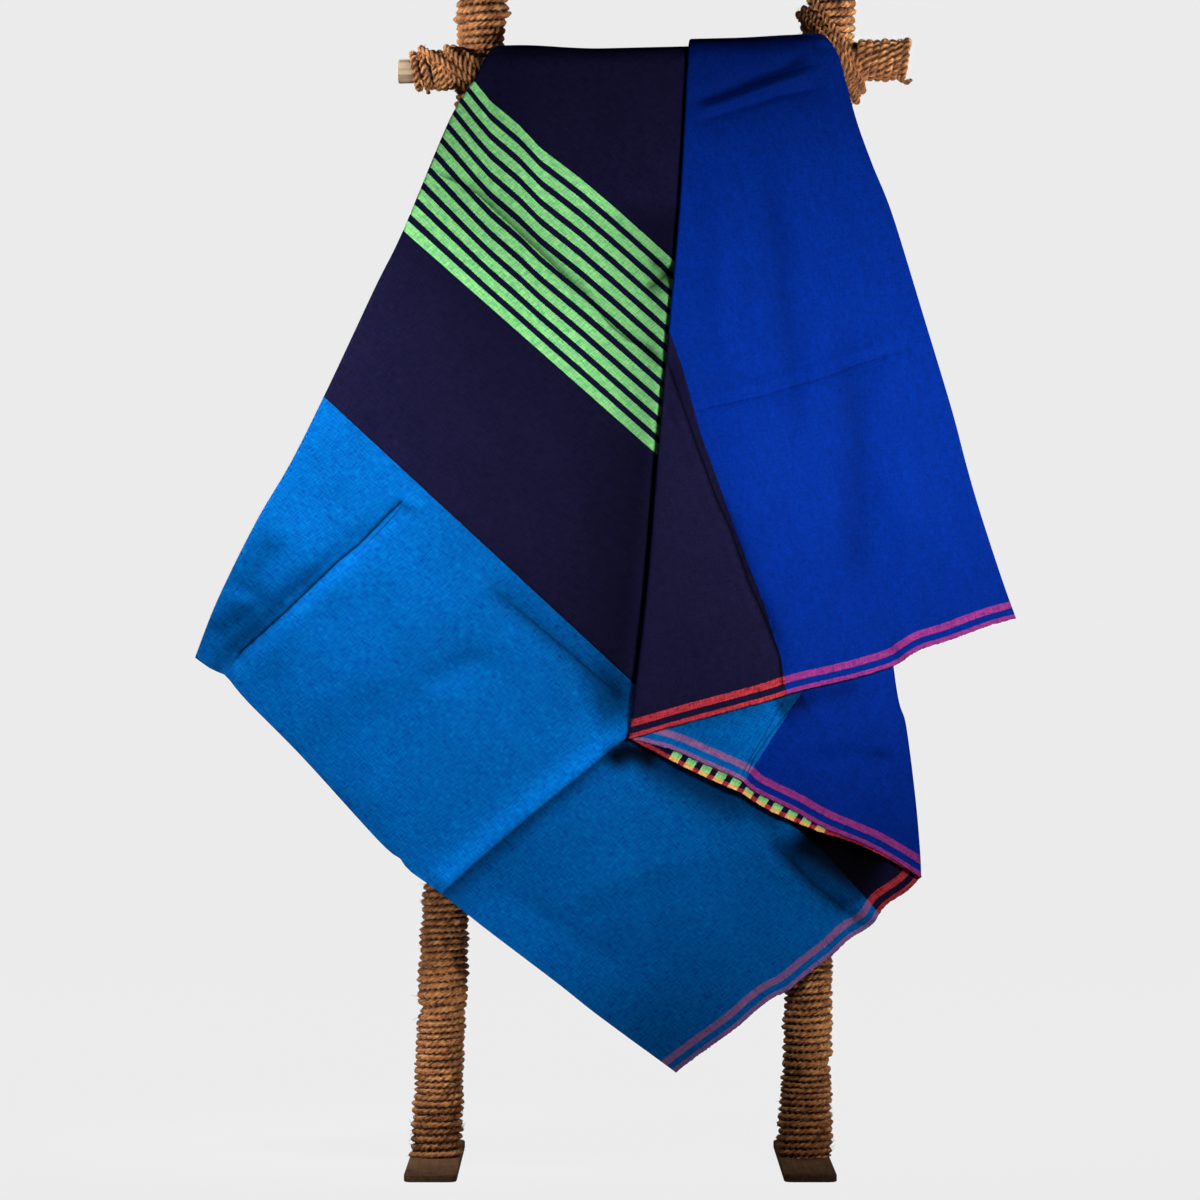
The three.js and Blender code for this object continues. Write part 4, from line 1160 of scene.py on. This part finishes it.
def coir_material(name):
    graph = Graph(name)
    fine, coarse = (graph.noise(graph.scaled(graph.uv("rope"), COIR_FIBRES[size]), roughness=0.65)
                    for size in ("fine", "coarse"))
    patches = graph.noise(graph.add("ShaderNodeTexCoord", output=OBJECT_PLACE), scale=26, detail=4)
    color = graph.ramp(graph.weighted((fine, 0.5), (coarse, 0.3), (patches, 0.2)), COIR_TONES)
    # Painted shade in the rope's hollows, from how near each place lies to a crest.
    color = graph.mix(1.0, color, graph.ramp(graph.uv("relief")[0], COIR_HOLLOW_SHADE), "MULTIPLY")
    relief = graph.weighted((fine, 1.0), (coarse, 0.6))
    roughness = graph.math("MULTIPLY_ADD", coarse, 0.1, 0.82)
    return graph.finish(color, roughness, graph.bump(relief, 0.8, 0.0009), Specular_IOR_Level=0.2,
                        Sheen_Weight=0.1, Sheen_Roughness=0.5)


def wood_material(name, grain_axis, dark, light):
    graph = Graph(name)
    place = graph.add("ShaderNodeTexCoord", output=OBJECT_PLACE)
    rates = [GRAIN_ALONG if axis == grain_axis else GRAIN_ACROSS for axis in range(3)]
    split = graph.add("ShaderNodeSeparateXYZ", {0: place}).node
    grain = graph.noise(graph.scaled(split.outputs, rates), detail=4)
    broad = graph.noise(place, scale=38, detail=3)
    middle = tuple((low + high) / 2 for low, high in zip(dark, light))
    tone = graph.weighted((grain, 0.65), (broad, 0.35))
    color = graph.ramp(tone, [(0.34, dark), (0.5, middle), (0.66, light)])
    roughness = graph.math("MULTIPLY_ADD", grain, 0.2, 0.6)
    return graph.finish(color, roughness, graph.bump(grain, 0.5, 0.0006), Specular_IOR_Level=0.3)


def edge_runs(rows, columns, closed):
    """Rows and columns of the cloth's open edges: the front hem, the back hem and the hidden side."""
    open_hem = np.nonzero(closed < 0.5)[0]
    return [(np.zeros(len(open_hem), int), open_hem), (np.full(columns, rows - 1), np.arange(columns)),
            (np.arange(rows), np.zeros(rows, int))]


def edge_cord(values, rng):
    """An uneven cord along points with their pattern's values: the same values at each point of its rings."""
    lengths = lengths_along(values[:, :3])
    steps = np.arange(0, lengths[-1], EDGE_CORD["step"])
    values = np.stack([np.interp(steps, lengths, column) for column in values.T], -1)
    radii = EDGE_CORD["radius"] * rng.uniform(*EDGE_CORD["swell"], len(values))
    path = values[:, :3] + rng.normal(0, EDGE_CORD["waver"], (len(values), 3))
    cord = np.repeat(values, EDGE_CORD["sides"], 0)
    cord[:, :3] = tube(path, radii, EDGE_CORD["sides"]).reshape(-1, 3)
    cord[:, -1] = 1.0
    return cord


def make_ply(ply, material):
    """One ply of the cloth with its edge cords, laid to one side of the middle surface."""
    grid, across = middle_grid(ply)
    rows, columns = grid.shape[:2]
    closed = closed_columns()
    from_edge = np.linalg.norm(grid - grid[:1], axis=-1)
    taper = np.sqrt(1 - (1 - np.clip(from_edge / PLY_OFFSET, 0, 1)) ** 2)
    offset = PLY_OFFSET * (1 - closed + closed * taper) * cloth_columns()[5]
    side = 1 if ply == "front" else -1
    surface = grid + side * offset[..., None] * grid_normals(grid)
    around, up, edge = pattern_places(grid, across, ply)
    face = face_places(grid)
    # Columns: point, distance round the tube and up it, place on the face, light left by the painted shade,
    # distance from the hem.
    values = np.dstack([surface, around, up, face, soft_light(face, ply), edge])
    blocks = [values.reshape(rows * columns, -1)]
    faces = [grid_faces(rows, columns)]
    rng = np.random.default_rng(5 if side > 0 else 6)
    for run in edge_runs(rows, columns, closed):
        cord = edge_cord(values[run], rng)
        sides = EDGE_CORD["sides"]
        faces.append(grid_faces(len(cord) // sides, sides, sum(len(block) for block in blocks), wrap=True))
        blocks.append(cord)
    values = np.concatenate(blocks)
    piece = new_piece(f"sarong_{ply}_ply", values[:, :3], faces, material,
                      {"weave": values[:, 3:5] * MM, "edge": values[:, [8, 7]] * (MM, 1),
                       "face": values[:, 5:7] * MM})
    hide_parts("sarong")
    return piece


def two_strands(across, phase, radius):
    """Height of a two-strand rope's surface at a distance across it, and the top strand's middle."""
    reach, strand = STRAND_REACH * radius, STRAND_RADIUS * radius
    heights, centres = [], []
    for turn in (0, math.pi):
        centre = -reach * np.cos(phase + turn)
        chord = strand ** 2 - (across - centre) ** 2
        heights.append(np.where(chord > 0, reach * np.sin(phase + turn) + np.sqrt(np.maximum(chord, 0)),
                                -0.9 * radius))
        centres.append(centre)
    top = heights[0] > heights[1]
    return np.where(top, heights[0], heights[1]), np.where(top, centres[0], centres[1])


def upright_x(name, z):
    upright = UPRIGHTS[name]
    return lerp(upright["bottom_x"], upright["top_x"], z / UPRIGHT_TOP_Z)


def wobble(value, seed, length):
    """A smooth random line between -1 and 1, with one random value every so many units."""
    rng = np.random.default_rng(seed)
    values = rng.uniform(-1, 1, WOBBLE_VALUES)
    place = value / length + WOBBLE_START
    start = np.floor(place).astype(int)
    part = place - start
    part = part * part * (3 - 2 * part)
    return lerp(values[start % WOBBLE_VALUES], values[(start + 1) % WOBBLE_VALUES], part)


def make_binding(name, seed, material):
    """Rope wound closely up an upright, as one surface with every turn and strand in relief."""
    def waver(key, value):
        seed_step, reach, length = BINDING_WAVERS[key]
        return reach * wobble(value, seed + seed_step, length)

    bottom = FOOT["thickness"] + SEAT_GAP
    height = UPRIGHT_TOP_Z - bottom
    rows = int(height / BINDING["pitch"] * BINDING["rows_per_turn"])
    z = np.linspace(bottom, UPRIGHT_TOP_Z, rows)[:, None]
    angle = round_angles(BINDING["sides"])[None, :]
    turns = (z - bottom) / BINDING["pitch"] + waver("turns", z) + 0.12 * np.sin(angle + z / 40)
    turn_place = turns - angle / (2 * math.pi)
    turn = np.floor(turn_place)
    across = (turn_place - turn - 0.5) * BINDING["pitch"]
    along = UPRIGHT_RADIUS * (2 * math.pi * turn + angle)
    phase = 2 * math.pi * along / BINDING["twist"] + waver("twist", along)
    relief, centre = two_strands(across, phase, ROPE_RADIUS * (1 + waver("rope radius", along)))
    swell = np.interp((z - bottom) / height, *np.array(BINDING_SWELL).T)
    body = UPRIGHT_RADIUS + swell - BINDING["sunk"] + waver("body", turn * 7 + along / 90)
    body = body + 0.5 * np.sin(angle * 2 + z / 70 + seed)
    for place_z, side_angle, depth in BINDING_NOTCHES[name]:
        near = np.exp(-((z - place_z) / BINDING["notch_height"]) ** 2)
        body = body - depth * near * np.clip(np.cos(angle - side_angle), 0, 1) ** 2
    relief = np.clip(relief, -BINDING["deepest"], None) + waver("turn height", turn + 0.37) - 0.4
    relief = relief + waver("relief", along) + waver("fine relief", along)
    rng = np.random.default_rng(seed + 4)
    reach = body + relief * BINDING["relief_gain"] + rng.normal(0, BINDING["roughness"], relief.shape)
    rings = np.stack([upright_x(name, z) + reach * np.cos(angle), UPRIGHT_SETBACK + reach * np.sin(angle),
                      np.broadcast_to(z, reach.shape)], -1)
    # How near each place lies to a crest: the coir material paints shade into the hollows from it.
    crest = np.clip((relief + BINDING["deepest"]) / BINDING["relief_span"], 0, 1)
    bundle = Bundle()
    bundle.add_rings(rings, np.stack([along * MM, (across - centre) * MM, crest], -1))
    piece = bundle.piece(f"binding_{name}", material)
    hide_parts(f"upright_{name}")
    return rings


def rope_rings(path, radius, twist, phase):
    """Rings of a two-strand twisted rope along a path, with the fibres' places on it."""
    lengths = lengths_along(path)
    along = np.arange(0, lengths[-1], ROPE["step"])
    path = np.stack([np.interp(along, lengths, path[:, axis]) for axis in range(3)], 1)
    turned = round_angles(ROPE["sides"])[None, :] - (2 * math.pi * along / twist + phase)[:, None]
    reach, strand = STRAND_REACH * radius, STRAND_RADIUS * radius
    from_strand = np.abs((turned + math.pi / 2) % math.pi - math.pi / 2)
    radii = reach * np.cos(from_strand) + np.sqrt(strand ** 2 - (reach * np.sin(from_strand)) ** 2)
    ends = np.minimum(along, along[-1] - along)
    radii = radii * np.clip(ROPE["end_share"] + ends / ROPE["end_length"], ROPE["end_share"], 1)[:, None]
    radii = radii * (1 + ROPE["waver"] * wobble(along + phase * 50, 77, ROPE["waver_length"]))[:, None]
    # How near each place lies to a crest, for the shade painted into the hollows.
    height = np.clip((radii / radius - 0.45) / 0.6, 0, 1)
    along = np.broadcast_to(along[:, None], turned.shape)
    places = np.stack([along * MM, turned * radius * 0.6 * MM, height], -1)
    return tube(path, radii, ROPE["sides"]), places


def bar_coil(turn_places, radius, start_angle):
    """A path round the bar: it crosses from each place to the next in front and rests there."""
    turns = len(turn_places) - 1
    angle = np.linspace(0, 2 * math.pi * turns, COIL_STEPS * turns + 1)
    share = angle / (2 * math.pi)
    step = np.floor(np.minimum(share, turns - 1e-6)).astype(int)
    part = smooth(0.0, COIL_CROSSING, share - step)
    places = np.array(turn_places, float)
    x = lerp(places[step], places[step + 1], part)
    reach = radius + COIL_SLACK * np.sin(angle * 0.37 + 1)
    turned = start_angle - angle
    return np.stack([x, -reach * np.cos(turned), bar_z(x) + reach * np.sin(turned)], 1)


def hull_path(name, degrees, offset, clearance):
    """A loop round the bar and an upright, in a slanted plane some offset aside from their joint."""
    upright = UPRIGHTS[name]
    lean = math.atan((upright["top_x"] - upright["bottom_x"]) / UPRIGHT_TOP_Z)
    bar_slope = math.atan2(BAR["right_z"] - BAR["left_z"], BAR["right_x"] - BAR["left_x"])
    angle = math.radians(degrees)
    from_bar, from_pole = angle - bar_slope, angle + lean
    turns = round_angles(HULL_STEPS)
    outward = np.stack([np.cos(turns), np.sin(turns)], 1)

    def reach(along, centre_y, radius, stretch):
        return (outward[:, 0] * along + outward[:, 1] * centre_y
                + np.hypot(outward[:, 0] * radius * stretch, outward[:, 1] * radius))

    bar_reach = reach(-offset / math.tan(from_bar), 0.0, BAR["radius"] + clearance,
                      1 / abs(math.sin(from_bar)))
    pole_reach = reach(offset * math.tan(from_pole), UPRIGHT_SETBACK, UPRIGHT_RADIUS + clearance,
                       1 / abs(math.cos(from_pole)))
    reaches = np.maximum(bar_reach, pole_reach)
    after = np.roll(outward, -1, 0)
    next_reach = np.roll(reaches, -1)
    cross = outward[:, 0] * after[:, 1] - outward[:, 1] * after[:, 0]
    along = (reaches * after[:, 1] - next_reach * outward[:, 1]) / cross
    y = (next_reach * outward[:, 0] - reaches * after[:, 0]) / cross
    joint_x = upright_x(name, bar_z(upright["top_x"]))
    joint_z = bar_z(joint_x)
    x = joint_x + along * math.cos(angle) - offset * math.sin(angle)
    z = joint_z + along * math.sin(angle) + offset * math.cos(angle)
    loop = np.stack([x, y, z], 1)
    return np.concatenate([loop, loop[:3]])


def make_bar_rope(name, material):
    bundle = Bundle()
    rope = BAR_ROPES[name]
    reach = BAR["radius"] + SEAT_GAP + rope["radius"]
    path = bar_coil(rope["turns"], reach, math.radians(rope["start"]))
    bundle.add_rings(*rope_rings(path, rope["radius"], TWIST, 0.4))
    for number, points in enumerate(LOOSE_ENDS[name]):
        smooth_path = Line(np.array(points)).at(np.linspace(0, 1, 40))
        bundle.add_rings(*rope_rings(smooth_path, ROPE_RADIUS * 0.8, TWIST, number))
    piece = bundle.piece(f"bar_rope_{name}", material)
    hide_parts(f"bar_wrap_{name}")
    return path


def make_lashing(name, material):
    bundle = Bundle()
    paths = []
    for number, (degrees, offset, clearance) in enumerate(LASHING_STRANDS[name]):
        path = hull_path(name, degrees, offset, clearance + ROPE_RADIUS)
        bundle.add_rings(*rope_rings(path, ROPE_RADIUS, TWIST, number * 1.7))
        paths.append(path)
    piece = bundle.piece(f"lashing_rope_{name}", material)
    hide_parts(f"lashing_{name}")
    return np.concatenate(paths)


def add_hairs(bundle, roots, outward, rng, count, longest):
    """Stray fibres standing off a rope: thin bent spikes."""
    rows, sides = HAIRS["rows"], HAIRS["sides"]
    for _ in range(count):
        pick = rng.integers(len(roots))
        direction = unit(outward[pick] * rng.uniform(0.25, 0.9) + rng.normal(0, 0.7, 3))
        bend = rng.normal(0, 0.5, 3)
        length = longest * rng.uniform(0.25, 1) ** 1.6
        part = np.linspace(0, 1, rows)[:, None]
        path = roots[pick] - outward[pick] * HAIRS["root"]
        path = path + length * (direction * part + bend * part ** 2 * 0.6)
        radii = HAIRS["radius"] * (1 - 0.75 * part[:, 0])
        over, height = rng.uniform(0, 60), rng.uniform(0.5, 1.0)
        places = np.stack([np.repeat(part * length, sides, 1) * MM, np.full((rows, sides), over) * MM,
                           np.full((rows, sides), height)], -1)
        bundle.add_rings(tube(path, radii, sides), places)


def make_hairs(bindings, ropes, material):
    bundle = Bundle()
    rng = np.random.default_rng(31)
    for name, rings in bindings.items():
        roots = rings.reshape(-1, 3)
        axis = np.stack([upright_x(name, roots[:, 2]), np.full(len(roots), UPRIGHT_SETBACK), roots[:, 2]], 1)
        outward = unit(roots - axis)
        add_hairs(bundle, roots, outward, rng, HAIRS["on_upright"], HAIRS["length"])
        low = roots[:, 2] < HAIRS["floor_zone"]
        add_hairs(bundle, roots[low], outward[low], rng, HAIRS["near_floor"], HAIRS["floor_length"])
    for path in ropes:
        outward = rng.normal(0, 1, path.shape)
        outward[:, 1] = -np.abs(outward[:, 1]) - 0.4
        outward = unit(outward)
        add_hairs(bundle, path + outward * ROPE_RADIUS, outward, rng, HAIRS["on_rope"], HAIRS["length"])
    piece = bundle.piece("coir_hairs", material)


def make_crossbar(material):
    """The bar: a peeled pole, a little uneven, with worn edges at its sawn ends."""
    x = np.linspace(BAR["left_x"], BAR["right_x"], CROSSBAR["steps"])
    ends = np.array(CROSSBAR["end_rings"])
    x = np.unique(np.concatenate([x, BAR["left_x"] + ends, BAR["right_x"] - ends]))
    from_end = np.minimum(x - BAR["left_x"], BAR["right_x"] - x) / CROSSBAR["worn"]
    worn = CROSSBAR["worn"] * (1 - np.sqrt(1 - (1 - np.clip(from_end, 0, 1)) ** 2))
    angle = round_angles(CROSSBAR["sides"])
    uneven = 0.2 * np.sin(x[:, None] / 37 + 2 * angle) + 0.12 * np.sin(x[:, None] / 9 + 5 * angle)
    radius = BAR["radius"] - CROSSBAR["skin"] - worn[:, None] + uneven
    rings = np.stack([np.broadcast_to(x[:, None], radius.shape), radius * np.cos(angle),
                      bar_z(x)[:, None] + radius * np.sin(angle)], -1)
    bundle = Bundle()
    bundle.add_rings(rings)
    piece = bundle.piece("crossbar_wood", material)
    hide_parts("crossbar")


def make_pole_tops(material):
    """The sawn ends of the poles inside the rope."""
    bundle = Bundle()
    for name in UPRIGHTS:
        z, radius = (column[:, None] for column in np.array(POLE_TOP).T)
        z = UPRIGHT_TOP_Z + z
        angle = round_angles(POLE_SIDES)
        rings = np.stack([upright_x(name, z) + radius * np.cos(angle),
                          UPRIGHT_SETBACK + radius * np.sin(angle),
                          np.broadcast_to(z, (len(z), POLE_SIDES))], -1)
        bundle.add_rings(rings)
    piece = bundle.piece("pole_tops", material)


def make_foot(name, material):
    """A flat board with rounded corners and a softened edge all round."""
    outline = []
    half_x, half_y = FOOT["width"] / 2 - FOOT["corner"], FOOT["length"] / 2 - FOOT["corner"]
    for sign_x, sign_y, start in ((1, 1, 0), (-1, 1, 90), (-1, -1, 180), (1, -1, 270)):
        centre = (sign_x * half_x, sign_y * half_y)
        for step in range(CORNER_STEPS):
            angle = math.radians(start + 90 * step / (CORNER_STEPS - 1))
            outline.append((centre, (math.cos(angle), math.sin(angle))))
    centres, outward = np.array([row[0] for row in outline]), np.array([row[1] for row in outline])
    bevel = FOOT["bevel"]
    levels = [(0.0, bevel * 0.5), (bevel * 0.5, 0.0), (FOOT["thickness"] - bevel, 0.0),
              (FOOT["thickness"] - bevel * 0.3, bevel * 0.3), (FOOT["thickness"], bevel)]
    rings = []
    for z, inset in levels:
        place = centres + outward * (FOOT["corner"] - inset)
        rings.append(np.column_stack([place[:, 0] + UPRIGHTS[name]["bottom_x"],
                                      place[:, 1] + UPRIGHT_SETBACK, np.full(len(place), z)]))
    bundle = Bundle()
    bundle.add_rings(np.array(rings))
    piece = bundle.piece(f"foot_board_{name}", material, smooth_shaded=False)
    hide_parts(f"foot_{name}")


def make_stage():
    """A pale floor that runs into a dome, evenly bright to the camera, and it takes only faint shadows."""
    levels = np.radians(np.linspace(0, 90, 25))
    profile = [(radius, STAGE_Z) for radius in (0.0, 1.0, 4.0)]
    profile += [(STAGE_RADIUS * math.cos(level), STAGE_RADIUS * math.sin(level) + STAGE_Z)
                for level in levels]
    angle = round_angles(STAGE_SIDES)
    rings = [np.column_stack([radius * np.cos(angle), radius * np.sin(angle), np.full(STAGE_SIDES, z)])
             for radius, z in profile]
    faces = grid_faces(len(rings), STAGE_SIDES, wrap=True)
    mesh = bpy.data.meshes.new("studio_floor")
    mesh.from_pydata(np.concatenate(rings).tolist(), [], faces.tolist())
    mesh.polygons.foreach_set("use_smooth", np.ones(len(mesh.polygons), bool))
    stage = bpy.data.objects.new("studio_floor", mesh)
    bpy.context.scene.collection.objects.link(stage)
    graph = Graph("studio_paper")
    surface = graph.add("ShaderNodeBsdfPrincipled", {"Base Color": (0.02, 0.02, 0.02, 1.0), "Roughness": 1.0,
                                                     "Specular IOR Level": 0.0,
                                                     "Emission Color": STAGE_SHADE, "Emission Strength": 1.0})
    graph.add_output(surface)
    mesh.materials.append(graph.material)
    stage.visible_diffuse = False
    stage.visible_glossy = False
    stage.visible_shadow = False


def make_lights():
    for name, (place, target, size, power, spread) in SOFTBOXES.items():
        light = bpy.data.lights.new(name, "AREA")
        light.shape = "SQUARE"
        light.size = size
        light.energy = power
        light.spread = math.radians(spread)
        lamp = bpy.data.objects.new(name, light)
        lamp.location = place
        lamp.rotation_euler = (Vector(target) - lamp.location).to_track_quat("-Z", "Y").to_euler()
        lamp.visible_camera = False
        lamp.visible_glossy = "behind" not in name
        bpy.context.scene.collection.objects.link(lamp)
    world = bpy.data.worlds.new("studio")
    world.use_nodes = True
    background = world.node_tree.nodes["Background"]
    background.inputs["Color"].default_value = (1.0, 1.0, 1.0, 1.0)
    background.inputs["Strength"].default_value = AMBIENT
    bpy.context.scene.world = world
    bpy.context.scene.view_settings.view_transform = "Standard"


def make_camera():
    camera_data = bpy.data.cameras.new("camera")
    camera_data.lens = CAMERA_LENS
    camera_data.sensor_width = 36.0
    camera_data.clip_end = 60.0
    camera = bpy.data.objects.new("camera", camera_data)
    bpy.context.scene.collection.objects.link(camera)
    focus = to_frame([CAMERA_X, CLOTH_FRONT_Y, CAMERA_Z])
    camera.location = (focus[0], focus[1] - CAMERA_DISTANCE, focus[2])
    camera.rotation_euler = (math.pi / 2, 0.0, 0.0)
    bpy.context.scene.camera = camera


def make_all():
    make_camera()
    make_stage()
    make_lights()
    coir = coir_material("coir_rope")
    wood = wood_material("peeled_wood", 0, *POLE_SHADES)
    board = wood_material("foot_board", 1, *FOOT_SHADES)
    make_ply("front", cloth_material("woven_cotton_front", FRONT_PLY_FIELDS, "front"))
    make_ply("back", cloth_material("woven_cotton_back", BACK_PLY_FIELDS, "back"))
    bindings = {"left": make_binding("left", 3, coir), "right": make_binding("right", 8, coir)}
    ropes = [make_bar_rope(name, coir) for name in UPRIGHTS]
    ropes += [make_lashing(name, coir) for name in UPRIGHTS]
    make_hairs(bindings, ropes, coir)
    make_crossbar(wood)
    make_pole_tops(wood)
    for name in UPRIGHTS:
        make_foot(name, board)


make_all()
bpy.context.view_layer.update()
